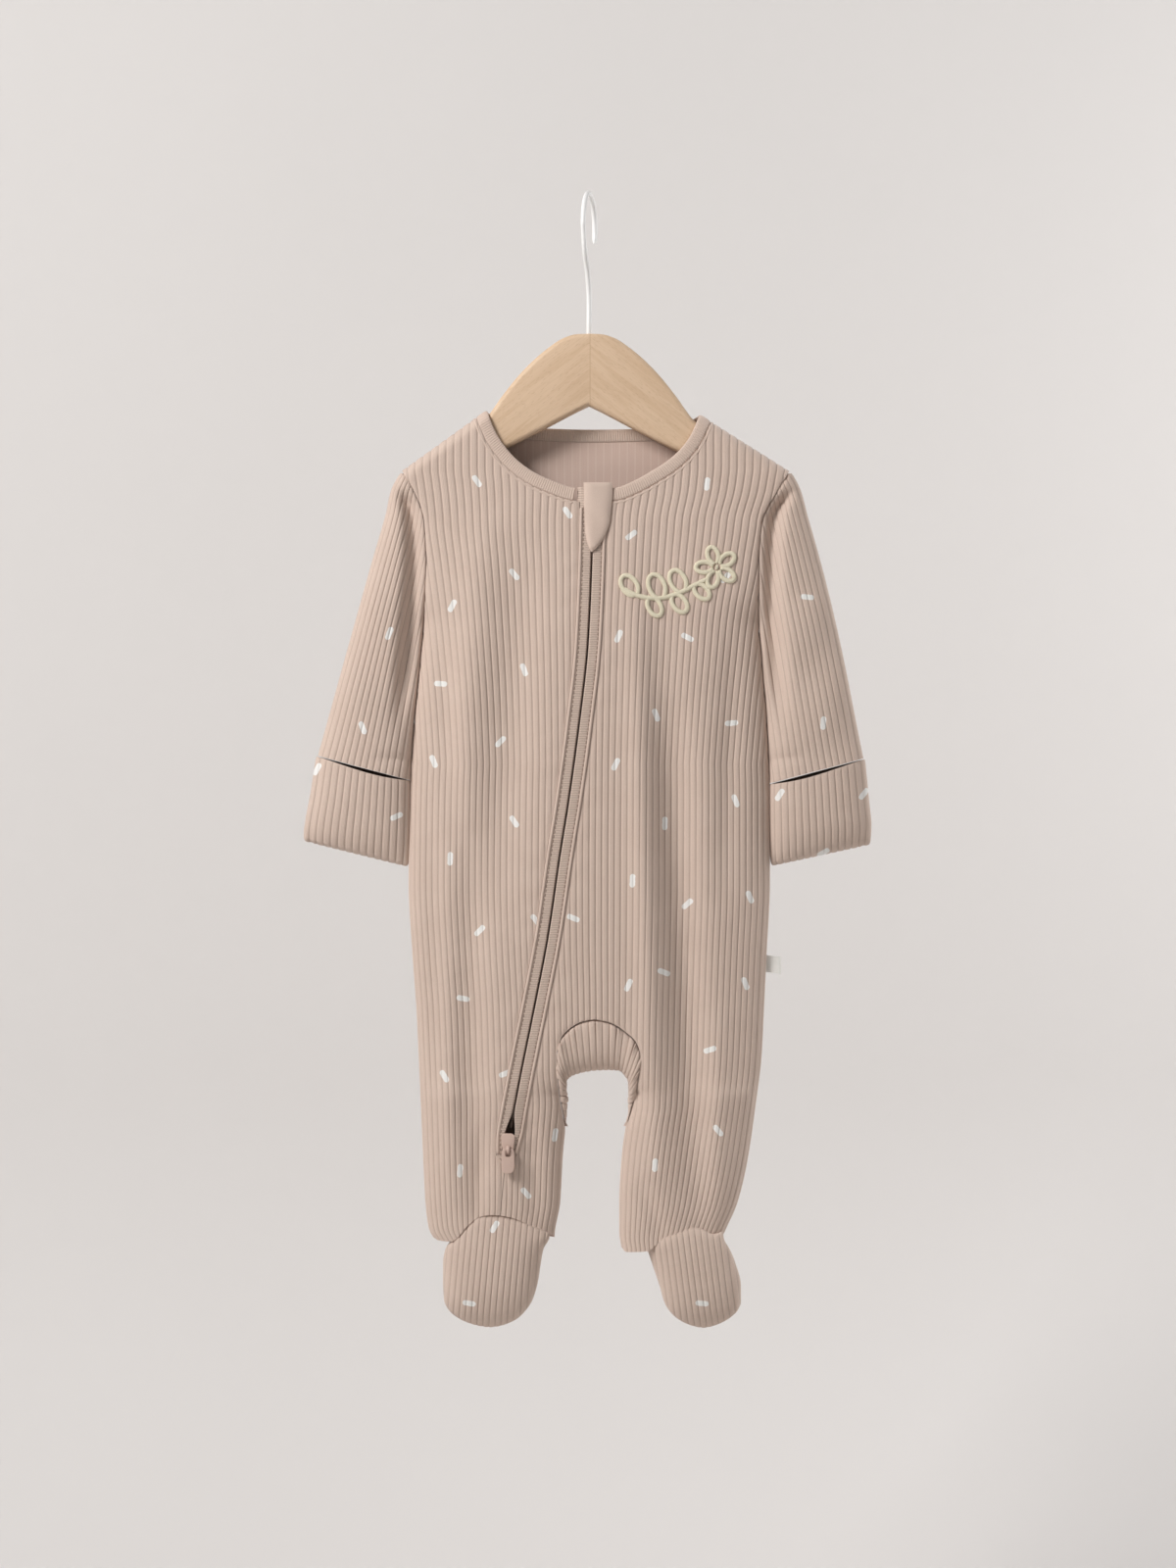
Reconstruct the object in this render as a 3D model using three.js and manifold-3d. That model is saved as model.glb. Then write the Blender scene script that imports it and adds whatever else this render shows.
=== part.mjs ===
// A footed baby sleepsuit of ribbed cotton, hanging on a small wooden hanger.
//
// Millimetres, +Z up. The front of the garment faces -Y and its zip leans towards -X.
// The origin is the inside of the hanger hook's crown, where a rail would carry it.

import * as THREE from 'three';
import { mergeVertices } from 'three/addons/utils/BufferGeometryUtils.js';
import Module from 'manifold-3d';

const wasm = await Module();
wasm.setup();

// Driving dimensions
const SEAM_GAP = 0.3; // between neighbouring pieces
const WALL = 1.3; // cloth thickness in the grooves
const RIB_HEIGHT = 0.7; // how far a rib stands over its grooves
const BODY_RIBS = 54; // across the front, and again across the back
const SLEEVE_RIBS = 32; // round a sleeve
const CUFF_RIBS = 32; // round a cuff
const FOOT_RIBS = 12; // across one face of a foot
const LENS_POWER = 2.4; // roundness of a flattened tube's section
const INNER_STEP = 4; // outer columns for each column of the plain inside

const ARMPIT_Z = -248;
const CROTCH_TOP_Z = -450; // where the trunk starts to round in to the crotch
const LEG_BLEND_TOP_Z = -430; // where the inner leg lines start to draw apart
const LEG_SPLIT_Z = -500; // the last row that runs across both legs
const SHOULDER_ROUND = 7; // height over which the shoulder turns over the hanger

const HANGER_THICKNESS = 14;
const HOOK_WIRE_RADIUS = 1.5;
const HOOK_RADIUS = 19.5; // of the wire's centre line

const ZIP_CORRIDOR = 7.9; // half the gap that the zip fills
const ZIP_SLIT = 1.0; // half the gap between the tapes
const ZIP_TOP_Z = -170;
const ZIP_END_Z = -558;

// Tables with named columns, and smooth curves through them

function table(names, rows) {
  const keys = names.split(' ');
  return rows.map((row) => Object.fromEntries(keys.map((key, i) => [key, row[i]])));
}

// A smooth curve through two columns that never overshoots its points; flat past both ends.
function curve(rows, from, to) {
  const points = rows.map((row) => [row[from], row[to]]).sort((a, b) => a[0] - b[0]);
  const slopes = points.slice(1).map((p, i) => (p[1] - points[i][1]) / (p[0] - points[i][0]));
  const tangents = points.map((p, i) => {
    if (i === 0) return slopes[0];
    if (i === points.length - 1) return slopes[i - 1];
    const product = slopes[i - 1] * slopes[i];
    return product <= 0 ? 0 : (2 * product) / (slopes[i - 1] + slopes[i]);
  });
  return (value) => {
    if (value <= points[0][0]) return points[0][1];
    if (value >= points.at(-1)[0]) return points.at(-1)[1];
    let i = 0;
    while (value > points[i + 1][0]) i += 1;
    const span = points[i + 1][0] - points[i][0];
    const t = (value - points[i][0]) / span;
    const rise = t * t * (3 - 2 * t);
    const bulgeStart = t * (1 - t) * (1 - t) * span * tangents[i];
    const bulgeEnd = t * t * (1 - t) * span * tangents[i + 1];
    return points[i][1] * (1 - rise) + points[i + 1][1] * rise + bulgeStart - bulgeEnd;
  };
}

const mix = (a, b, share) => a + (b - a) * share;
const clamp01 = (value) => Math.min(1, Math.max(0, value));
const smooth = (value) => {
  const t = clamp01(value);
  return t * t * (3 - 2 * t);
};
const range = (count) => Array.from({ length: count }, (_, i) => i);

// Height of a flattened tube's half section, 0 at both edges and 1 in the middle
const lens = (q) => (1 - Math.abs(2 * clamp01(q) - 1) ** LENS_POWER) ** (1 / LENS_POWER);

// Place across a half section at an equal share of its length along the cloth
const across = (() => {
  const halfWidth = 105;
  const depth = 17;
  const steps = 600;
  const power = 2 / LENS_POWER;
  const samples = range(steps + 1).map((i) => {
    const angle = (Math.PI * i) / steps;
    const cosine = Math.cos(angle);
    const x = -Math.sign(cosine) * Math.abs(cosine) ** power;
    return { x: x * halfWidth, y: Math.abs(Math.sin(angle)) ** power * depth };
  });
  const lengths = [0];
  for (let i = 1; i <= steps; i += 1) {
    const step = Math.hypot(samples[i].x - samples[i - 1].x, samples[i].y - samples[i - 1].y);
    lengths.push(lengths[i - 1] + step);
  }
  return (f) => {
    const target = clamp01(f) * lengths[steps];
    let i = 1;
    while (i < steps && lengths[i] < target) i += 1;
    const share = (target - lengths[i - 1]) / (lengths[i] - lengths[i - 1]);
    return (mix(samples[i - 1].x, samples[i].x, share) + halfWidth) / (2 * halfWidth);
  };
})();

// The trunk and legs: outlines seen from the front, and depths

const sides = table('z left right', [
  [-160, -108.5, 116.5],
  [-174, -100.3, 107.7],
  [-190, -95.2, 99.8],
  [-214, -94.0, 98.0],
  [-238, -95.2, 98.0],
  [-272, -98.0, 100.3],
  [-307, -101.5, 103.2],
  [-353, -104.0, 104.8],
  [-399, -104.5, 104.8],
  [-442, -102.2, 102.8],
  [-472, -100.0, 101.4],
  [-501, -98.6, 99.9],
  [-530, -97.3, 96.3],
  [-560, -96.0, 91.9],
  [-585, -94.7, 86.0],
  [-600, -92.8, 79.5],
  [-608, -88.5, 76.0],
]);
const sideLeft = curve(sides, 'z', 'left');
const sideRight = curve(sides, 'z', 'right');

const innerLegs = table('z left right', [
  [-510, -14.0, 23.4],
  [-527, -12.6, 23.4],
  [-541, -13.8, 21.4],
  [-559, -15.4, 19.1],
  [-585, -16.8, 17.7],
  [-603, -20.0, 17.7],
  [-612, -20.5, 19.0],
]);
const innerLeftLine = curve(innerLegs, 'z', 'left');
const innerRightLine = curve(innerLegs, 'z', 'right');

// The line of the shoulder seams, carried on upwards across the neck
const NECK_LEFT = -65.6;
const NECK_RIGHT = 70.7;
const shoulderLine = (x) => (x < 0
  ? -129.4 + 0.718 * (x - NECK_LEFT)
  : -131.7 - 0.63 * (x - NECK_RIGHT));

// Top edge of each panel: shoulder seams, and the seam under the neck binding
const topEdge = (neck) => (x) => (x < NECK_LEFT || x > NECK_RIGHT ? shoulderLine(x) : neck(x));
const frontTop = topEdge(curve(table('x z', [
  [NECK_LEFT, -129.4],
  [-63.2, -136.0],
  [-59.9, -143.0],
  [-53.4, -152.6],
  [-45.6, -160.7],
  [-37.5, -166.6],
  [-29.1, -171.0],
  [-9.1, -177.8],
  [4.0, -179.0],
  [18.2, -177.3],
  [30.0, -172.6],
  [41.0, -166.4],
  [50.0, -160.6],
  [58.1, -153.4],
  [65.2, -144.0],
  [NECK_RIGHT, -131.7],
]), 'x', 'z'));
const backTop = topEdge(curve(table('x z', [
  [NECK_LEFT, -129.4],
  [-60.0, -134.5],
  [-45.0, -139.6],
  [-25.0, -142.2],
  [2.0, -142.9],
  [30.0, -142.4],
  [50.0, -140.2],
  [64.0, -136.0],
  [NECK_RIGHT, -131.7],
]), 'x', 'z'));

// Bottom edge of the legs: in front it arches over the foot, behind it is level
const frontHem = curve(table('x z', [
  [-93.0, -603.0],
  [-87.0, -606.8],
  [-80.0, -607.4],
  [-75.8, -604.6],
  [-70.7, -598.4],
  [-62.7, -592.8],
  [-55.9, -591.7],
  [-46.7, -592.8],
  [-37.6, -596.2],
  [-29.0, -600.8],
  [-20.0, -604.4],
  [17.7, -610.4],
  [22.0, -613.6],
  [34.2, -612.8],
  [39.9, -608.2],
  [46.7, -604.2],
  [53.6, -601.4],
  [60.4, -600.2],
  [66.1, -601.4],
  [71.8, -604.2],
  [79.0, -602.6],
]), 'x', 'z');
const backHem = curve(table('x z', [
  [-93.0, -605.5],
  [-20.0, -605.5],
  [17.7, -611.5],
  [79.0, -604.0],
]), 'x', 'z');

// Lower edge of the gusset between the legs
const crotchLine = curve(table('x z', [
  [-22.0, -521.0],
  [-16.5, -521.0],
  [-14.0, -516.0],
  [-10.0, -511.2],
  [0.0, -508.6],
  [10.0, -507.8],
  [17.0, -508.2],
  [21.0, -511.4],
  [24.0, -518.0],
  [27.0, -521.0],
  [32.0, -521.0],
]), 'x', 'z');

const depths = table('z front back', [
  [-130, 9.6, 9.5],
  [-170, 10.2, 9.7],
  [-215, 13.5, 11.0],
  [-265, 17.0, 13.0],
  [-380, 18.0, 14.0],
  [-480, 16.5, 13.5],
  [-560, 14.0, 12.5],
  [-606, 11.5, 11.5],
]);
const frontDepth = curve(depths, 'z', 'front');
const backDepth = curve(depths, 'z', 'back');

// How far the cloth's armhole edges stand off the middle plane
const armholeDepth = curve(table('z depth', [
  [-160, 8.6],
  [-214, 8.4],
  [-234, 6.0],
  [ARMPIT_Z, 0],
]), 'z', 'depth');

// The largest folds: soft troughs that run down the cloth, negative depths stand out
const folds = table('side top bottom xTop xBottom width depth', [
  ['front', -365, -600, -70, -66, 9, 2.6],
  ['front', -385, -612, 45, 55, 9, 2.8],
  ['front', -400, -590, 28, 34, 7, -1.6],
  ['front', -250, -420, 82, 76, 8, 1.8],
  ['front', -255, -380, -84, -80, 7, 1.6],
  ['back', -210, -470, -42, -50, 12, 2.4],
  ['back', -230, -500, 38, 50, 12, 2.6],
  ['back', -400, -600, -62, -58, 9, 2.2],
  ['back', -410, -600, 58, 52, 9, 2.2],
]);

function foldDepth(side, x, z) {
  let sum = 0;
  for (const fold of folds) {
    if (fold.side !== side || z > fold.top || z < fold.bottom) continue;
    const share = (fold.top - z) / (fold.top - fold.bottom);
    const away = (x - mix(fold.xTop, fold.xBottom, share)) / fold.width;
    sum += fold.depth * Math.exp(-away * away) * Math.sin(Math.PI * share) ** 0.7;
  }
  return sum;
}

const legColumnLeft = 46;
const legColumnRight = 66;
const bodyColumns = 2 * BODY_RIBS;
const leftShare = across(legColumnLeft / bodyColumns);
const rightShare = across(legColumnRight / bodyColumns);

function innerLeft(z) {
  const plain = mix(sideLeft(z), sideRight(z), leftShare);
  return mix(plain, innerLeftLine(z), smooth((LEG_BLEND_TOP_Z - z) / 70));
}

function innerRight(z) {
  const plain = mix(sideLeft(z), sideRight(z), rightShare);
  return mix(plain, innerRightLine(z), smooth((LEG_BLEND_TOP_Z - z) / 70));
}

// Place of a column of the trunk across the photo's plane
function bodyX(column, z) {
  const share = across(column / bodyColumns);
  const lines = [sideLeft(z), innerLeft(z), innerRight(z), sideRight(z)];
  if (share <= leftShare) return mix(lines[0], lines[1], share / leftShare);
  if (share >= rightShare) return mix(lines[2], lines[3], (share - rightShare) / (1 - rightShare));
  return mix(lines[1], lines[2], (share - leftShare) / (rightShare - leftShare));
}

function legLens(x, z) {
  if (x < innerLeft(z)) return lens((x - sideLeft(z)) / (innerLeft(z) - sideLeft(z)));
  if (x > innerRight(z)) return lens((sideRight(z) - x) / (sideRight(z) - innerRight(z)));
  return 0;
}

// Distance of the trunk's or a leg's cloth from the middle plane
function bodyDepth(side, x, z) {
  const full = side === 'front' ? frontDepth(z) : backDepth(z);
  const edge = armholeDepth(z);
  const trunk = edge + (full - edge) * lens((x - sideLeft(z)) / (sideRight(z) - sideLeft(z)));
  let depth = trunk;
  if (z < CROTCH_TOP_Z) {
    const fall = clamp01((CROTCH_TOP_Z - z) / (CROTCH_TOP_Z - crotchLine(x)));
    const round = Math.sqrt(1 - fall * fall);
    depth = trunk * round + full * legLens(x, z) * (1 - round);
  }
  const flat = smooth(depth / full);
  const turn = clamp01((shoulderLine(x) - z) / SHOULDER_ROUND);
  const ridge = Math.sqrt(1 - (1 - turn) ** 2);
  return SEAM_GAP / 2 + Math.max(0, (depth - flat * foldDepth(side, x, z)) * ridge);
}

const everyStep = (columns, step) => range(columns / step + 1).map((i) => i * step);

// A cloth wall on a grid: the outside has two columns for each rib, the inside is plain.
// spans(band) lists the column ranges that a band of rows covers; insideColumns lists the
// columns that the inside keeps, and flat(c, r) says where the rim lies in a plane of equal y.
function wall(options) {
  const { columns, rows, place, rib = RIB_HEIGHT, thickness = WALL } = options;
  const { closed = false, capEnd = false, flat = () => false } = options;
  const insideColumns = options.insideColumns ?? everyStep(columns, INNER_STEP);
  const spans = options.spans ?? (() => [[0, columns]]);
  const wrap = (c) => (closed ? (c + columns) % columns : c);
  const width = closed ? columns : columns + 1;
  const points = range(rows).map((r) => range(width).map((c) => place(c, r)));
  const at = (c, r) => points[r][wrap(c)];
  const covered = (c, band) => band >= 0 && band < rows - 1
    && spans(band).some(([first, last]) => c >= first && c < last);
  const used = (c, r) => covered(c, r) || covered(c, r - 1) || covered(c - 1, r)
    || covered(c - 1, r - 1);
  const near = (c, r, dc, dr) => {
    const c2 = closed ? c + dc : Math.min(columns, Math.max(0, c + dc));
    const r2 = Math.min(rows - 1, Math.max(0, r + dr));
    return closed || used(c2, r2) ? at(c2, r2) : at(c, r);
  };
  const sign = options.outward ?? 1;
  const normal = (c, r) => {
    const du = near(c, r, 1, 0).clone().sub(near(c, r, -1, 0));
    const dv = near(c, r, 0, 1).clone().sub(near(c, r, 0, -1));
    const n = du.cross(dv).multiplyScalar(sign);
    if (flat(c, r, at(c, r))) n.y = 0;
    return n.normalize();
  };

  const stretches = (first, last) => insideColumns
    .map((c, i) => [c, insideColumns[i + 1]])
    .filter(([c, next]) => c >= first && next <= last);
  const positions = [];
  const outerIndex = new Map();
  const innerIndex = new Map();
  const put = (point) => positions.push(point.x, point.y, point.z) / 3 - 1;
  const outer = (c, r) => {
    const key = `${wrap(c)},${r}`;
    if (!outerIndex.has(key)) {
      const raise = c % 2 ? rib : 0;
      outerIndex.set(key, put(at(c, r).clone().addScaledVector(normal(c, r), raise)));
    }
    return outerIndex.get(key);
  };
  const inner = (c, r) => {
    const key = `${wrap(c)},${r}`;
    if (!innerIndex.has(key)) {
      const point = at(c, r).clone().addScaledVector(normal(c, r), -thickness);
      if (capEnd && r === rows - 1) {
        const back = at(c, r - 1).clone().sub(at(c, r)).setLength(thickness);
        point.add(back);
      }
      innerIndex.set(key, put(point));
    }
    return innerIndex.get(key);
  };

  const triangles = [];
  const triangle = (a, b, c) => {
    if (a !== b && b !== c && a !== c) triangles.push(a, b, c);
  };
  const quad = (a, b, c, d) => {
    triangle(a, b, c);
    triangle(a, c, d);
  };
  // Closes the rim between one stretch of the outside, in the order its faces use, and the inside
  const rim = (line, innerStart, innerEnd) => {
    const half = Math.floor((line.length - 1) / 2);
    for (let i = 0; i < line.length - 1; i += 1) {
      triangle(line[i + 1], line[i], i < half ? innerStart : innerEnd);
    }
    triangle(line[half], innerStart, innerEnd);
  };

  for (let r = 0; r < rows - 1; r += 1) {
    for (const [first, last] of spans(r)) {
      for (let c = first; c < last; c += 1) {
        quad(outer(c, r), outer(c + 1, r), outer(c + 1, r + 1), outer(c, r + 1));
      }
      for (const [c, next] of stretches(first, last)) {
        quad(inner(c, r), inner(c, r + 1), inner(next, r + 1), inner(next, r));
      }
      if (!closed) {
        rim([outer(first, r + 1), outer(first, r)], inner(first, r + 1), inner(first, r));
        rim([outer(last, r), outer(last, r + 1)], inner(last, r), inner(last, r + 1));
      }
    }
  }
  for (let r = 0; r < rows; r += 1) {
    if (capEnd && r === rows - 1) continue;
    for (const [c, next] of stretches(0, columns)) {
      const above = covered(c, r - 1);
      const below = covered(c, r);
      if (above === below) continue;
      const line = range(next - c + 1).map((i) => outer(c + i, r));
      if (below) rim(line, inner(c, r), inner(next, r));
      else rim(line.reverse(), inner(next, r), inner(c, r));
    }
  }
  if (capEnd) {
    const end = rows - 1;
    for (let c = 0; c < columns / 2; c += 1) {
      quad(outer(c, end), outer(c + 1, end), outer(columns - c - 1, end), outer(columns - c, end));
    }
    for (const [c, next] of stretches(0, columns / 2)) {
      quad(inner(c, end), inner(columns - c, end), inner(columns - next, end), inner(next, end));
    }
  }
  return closedGeometry(positions, triangles);
}

// An indexed geometry whose faces point outwards
function closedGeometry(positions, triangles) {
  let volume = 0;
  const corner = (i) => new THREE.Vector3(...positions.slice(3 * i, 3 * i + 3));
  for (let i = 0; i < triangles.length; i += 3) {
    const [a, b, c] = [0, 1, 2].map((k) => corner(triangles[i + k]));
    volume += a.dot(b.cross(c));
  }
  if (volume < 0) triangles.reverse();
  const geometry = new THREE.BufferGeometry();
  geometry.setAttribute('position', new THREE.Float32BufferAttribute(positions, 3));
  geometry.setIndex(triangles);
  return geometry;
}

// Joins and cuts

function solid(geometry) {
  const plain = geometry.clone();
  plain.deleteAttribute('normal');
  plain.deleteAttribute('uv');
  const merged = mergeVertices(plain, 1e-4);
  return new wasm.Manifold(new wasm.Mesh({
    numProp: 3,
    vertProperties: new Float32Array(merged.attributes.position.array),
    triVerts: new Uint32Array(merged.index.array),
  }));
}

// Points go to a fine lattice, so that two points of a cut are either one or well apart
function fromSolid(body) {
  const lattice = 200; // steps in a millimetre
  const mesh = body.getMesh();
  const positions = mesh.vertProperties.map((value) => Math.round(value * lattice) / lattice);
  const geometry = new THREE.BufferGeometry();
  geometry.setAttribute('position', new THREE.BufferAttribute(positions, 3));
  geometry.setIndex(new THREE.BufferAttribute(mesh.triVerts, 1));
  const merged = mergeVertices(geometry, 0.5 / lattice);
  const corners = Array.from(merged.index.array);
  const kept = [];
  for (let i = 0; i < corners.length; i += 3) {
    const [a, b, c] = corners.slice(i, i + 3);
    if (a !== b && b !== c && a !== c) kept.push(a, b, c);
  }
  merged.setIndex(kept);
  return merged;
}

// A prism on an outline in the XZ plane, between two places along Y
function prism(outline, yFrom, yTo, bevel = 0) {
  const shape = new THREE.Shape(outline.map(([x, z]) => new THREE.Vector2(x, z)));
  const geometry = new THREE.ExtrudeGeometry(shape, {
    depth: yTo - yFrom - 2 * bevel,
    bevelEnabled: bevel > 0,
    bevelThickness: bevel,
    bevelSize: bevel,
    bevelOffset: -bevel,
    bevelSegments: 1,
    curveSegments: 6,
  });
  geometry.rotateX(Math.PI / 2);
  geometry.translate(0, yTo - bevel, 0);
  return geometry;
}

// Materials

const cloth = (name) => new THREE.MeshStandardMaterial({
  name, color: 0xcdb8a8, roughness: 0.95, metalness: 0,
});
const ribbedCloth = cloth('ribbed_cotton');
const plainCloth = cloth('plain_cotton');
const tapeCloth = new THREE.MeshStandardMaterial({ color: 0xbfa898, roughness: 0.9, metalness: 0 });
const nylon = new THREE.MeshStandardMaterial({ color: 0xb49d8c, roughness: 0.6, metalness: 0 });
const enamel = new THREE.MeshStandardMaterial({ color: 0xc9b3a4, roughness: 0.4, metalness: 0.3 });
const labelCloth = new THREE.MeshStandardMaterial({ color: 0xf1eee8, roughness: 0.9, metalness: 0 });
const beech = new THREE.MeshStandardMaterial({ color: 0xd8b894, roughness: 0.6, metalness: 0 });
const whiteWire = new THREE.MeshStandardMaterial({ color: 0xf4f4f2, roughness: 0.35, metalness: 0 });

const sleepsuit = new THREE.Group();
sleepsuit.name = 'footed_sleepsuit_on_hanger';

function add(name, geometry, material) {
  const mesh = new THREE.Mesh(geometry, material);
  mesh.name = name;
  sleepsuit.add(mesh);
  return mesh;
}

// Trunk and leg panels

const panelTop = { front: frontTop, back: backTop };
const panelHem = { front: frontHem, back: backHem };

// Where a column's line meets a boundary that is a function of x
function heightOn(boundary, column, start) {
  let z = start;
  for (let i = 0; i < 30; i += 1) z = mix(z, boundary(bodyX(column, z)), 0.7);
  return z;
}

const bodyRows = [
  ...[0, 1.5, 4.5, 9].map((drop) => ({ drop })),
  ...[0.25, 0.5, 0.75].map((share) => ({ share })),
  ...[-250, -320, -395, -445, -475, LEG_SPLIT_Z].map((level) => ({ level })),
  ...[0.5, 1].map((leg) => ({ leg })),
];
const lastDrop = 9;
const yokeEnd = -250;
const splitRow = bodyRows.findIndex((row) => row.level === LEG_SPLIT_Z);

function bodyRowZ(side, column, row) {
  const { drop, share, level, leg } = bodyRows[row];
  if (level !== undefined) return level;
  if (leg !== undefined) {
    return mix(LEG_SPLIT_Z, heightOn(panelHem[side], column, -600), leg);
  }
  const top = heightOn(panelTop[side], column, -165);
  if (drop !== undefined) return top - drop;
  return mix(top - lastDrop, yokeEnd, share);
}

function bodyPoint(side, column, row) {
  const z = bodyRowZ(side, column, row);
  const x = bodyX(column, z);
  const y = bodyDepth(side, x, z);
  return new THREE.Vector3(x, side === 'front' ? -y : y, z);
}

// The inside keeps more columns where the neck seam turns over the shoulder
const nearestColumn = (x) => range(bodyColumns + 1).reduce((best, column) => {
  const better = Math.abs(bodyX(column, -130) - x) < Math.abs(bodyX(best, -130) - x);
  return better ? column : best;
}, 0);
const neckCorners = [nearestColumn(NECK_LEFT), nearestColumn(NECK_RIGHT)];
const nearCorner = (column) => neckCorners.some((corner) => Math.abs(column - corner) <= 3);
const bodyInside = range(bodyColumns + 1).filter((column) => nearCorner(column)
  || (column % INNER_STEP === 0 && column !== legColumnLeft - 2 && column !== legColumnRight - 2)
  || column === legColumnLeft || column === legColumnRight);

function bodyPanel(side) {
  return wall({
    columns: bodyColumns,
    rows: bodyRows.length,
    place: (column, row) => bodyPoint(side, column, row),
    outward: side === 'front' ? -1 : 1,
    insideColumns: bodyInside,
    flat: (c, r, point) => Math.abs(point.y) <= SEAM_GAP,
    spans: (band) => (band < splitRow
      ? [[0, bodyColumns]]
      : [[0, legColumnLeft], [legColumnRight, bodyColumns]]),
  });
}

// The gusset's seam: an arch with straight tails down the insides of the legs
const gussetArch = table('x z', [
  [-18.9, -500.0],
  [-16.2, -489.0],
  [-10.8, -483.2],
  [-4.0, -479.4],
  [3.4, -478.2],
  [12.0, -480.0],
  [20.5, -485.0],
  [27.2, -491.4],
  [29.8, -499.0],
]);
const gussetLeft = gussetArch[0].x;
const gussetRight = gussetArch.at(-1).x;
const archLine = curve(gussetArch, 'x', 'z');
const tailEnd = -521.4;
const archStations = range(21).map((i) => mix(gussetLeft, gussetRight, i / 20));
const gussetHole = solid(prism([
  [gussetLeft, tailEnd],
  ...archStations.map((x) => [x, archLine(x)]),
  [gussetRight, tailEnd],
], -60, 60));

// The zip's slit, seen from the front, and the seam that goes on under it
const zipLine = curve(table('z x', [
  [-165, 2.6],
  [-207, 1.7],
  [-260, -0.6],
  [-307, -5.7],
  [-353, -12.0],
  [-381, -16.5],
  [-431, -23.9],
  [-467, -30.8],
  [-515, -40.5],
  [-544, -45.8],
  [-562, -48.4],
  [-592, -51.3],
  [-640, -54.0],
]), 'z', 'x');
const corridor = curve(table('z half', [
  [-545, ZIP_CORRIDOR],
  [ZIP_END_Z, 5.6],
  [-561, SEAM_GAP / 2],
]), 'z', 'half');

const corridorStations = [
  -120, -180, ...range(15).map((i) => -200 - 24 * i), -545, -551, ZIP_END_Z, -561, -580, -640,
];

function halfPlane(direction) {
  const edge = corridorStations.map((z) => [zipLine(z) + direction * corridor(z), z]);
  const far = direction * 200;
  return solid(prism([...edge, [far, -640], [far, -120]], -60, 60));
}

const front = solid(bodyPanel('front')).subtract(gussetHole);
add('front_left', fromSolid(front.intersect(halfPlane(-1))), ribbedCloth);
add('front_right', fromSolid(front.intersect(halfPlane(1))), ribbedCloth);
add('back', fromSolid(solid(bodyPanel('back')).subtract(gussetHole)), ribbedCloth);

// Gusset: down the front, round the fold between the legs and up the back
const gussetTurns = [0, 32, 62, 90, 118, 148, 180];
const gussetColumns = 20;

function gussetPoint(column, row) {
  const margin = 2.3 * SEAM_GAP;
  const tail = 3 * SEAM_GAP;
  const x = mix(gussetLeft + tail, gussetRight - tail, column / gussetColumns);
  const slope = archLine(x + 0.5) - archLine(x - 0.5);
  const turn = (gussetTurns[row] * Math.PI) / 180;
  const top = archLine(x) - margin * Math.min(3, Math.hypot(1, slope));
  const z = mix(top, crotchLine(x), Math.sin(turn));
  if (gussetTurns[row] === 90) return new THREE.Vector3(x, 0, z);
  const side = turn < Math.PI / 2 ? 'front' : 'back';
  const y = bodyDepth(side, x, z);
  return new THREE.Vector3(x, side === 'front' ? -y : y, z);
}

add('crotch_gusset', wall({
  columns: gussetColumns,
  rows: gussetTurns.length,
  place: gussetPoint,
  outward: -1,
}), ribbedCloth);

// Sleeves: flattened tubes, each section given by its outer and inner edge seen from the front

const leftSleeve = table('outerX outerZ innerX innerZ depth', [
  [-110.6, -163.2, -97.4, -249.4, 6.4],
  [-113.8, -169.0, -98.2, -252.0, 9.6],
  [-117.8, -185.0, -98.8, -258.0, 12.0],
  [-126.2, -214.0, -99.6, -270.0, 13.0],
  [-136.0, -249.0, -101.4, -288.0, 12.8],
  [-157.3, -325.6, -105.2, -339.4, 11.8],
]);
const rightSleeve = table('outerX outerZ innerX innerZ depth', [
  [118.6, -163.2, 100.2, -249.4, 6.4],
  [121.6, -168.6, 101.2, -252.0, 9.6],
  [127.0, -187.0, 101.8, -259.0, 12.0],
  [134.6, -214.0, 102.6, -271.0, 13.0],
  [142.8, -247.0, 104.0, -289.0, 12.8],
  [159.2, -327.2, 106.0, -341.6, 11.8],
]);

// A panel's armhole edge, straight between its rows, at a given height
function armholeEdge(column, z) {
  const edge = range(splitRow).map((row) => bodyPoint('front', column, row));
  let i = 0;
  while (i < edge.length - 2 && edge[i + 1].z > z) i += 1;
  const share = clamp01((edge[i].z - z) / (edge[i].z - edge[i + 1].z));
  return { x: mix(edge[i].x, edge[i + 1].x, share), y: mix(edge[i].y, edge[i + 1].y, share) };
}

function sleevePoint(sections, direction, column, row) {
  const half = SLEEVE_RIBS;
  const onFront = column <= half;
  const share = across((onFront ? column : 2 * half - column) / half);
  const facing = onFront ? -1 : 1;
  if (row === 0) {
    const z = mix(-161.4, ARMPIT_Z + 0.8, share);
    const edge = armholeEdge(direction < 0 ? 0 : bodyColumns, z);
    const round = Math.min(1, lens(share) * 2.2);
    const y = -edge.y * round;
    return new THREE.Vector3(edge.x + direction * 0.6, facing * y, z);
  }
  const section = sections[row - 1];
  return new THREE.Vector3(
    mix(section.outerX, section.innerX, share),
    facing * section.depth * lens(share),
    mix(section.outerZ, section.innerZ, share),
  );
}

function sleeve(sections, direction) {
  return wall({
    columns: 2 * SLEEVE_RIBS,
    rows: sections.length + 1,
    closed: true,
    outward: direction,
    place: (column, row) => sleevePoint(sections, direction, column, row),
  });
}

add('sleeve_left', sleeve(leftSleeve, -1), ribbedCloth);
add('sleeve_right', sleeve(rightSleeve, 1), ribbedCloth);

// Cuffs: folded over at the bottom, with a slit in front where the hand comes out

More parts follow.
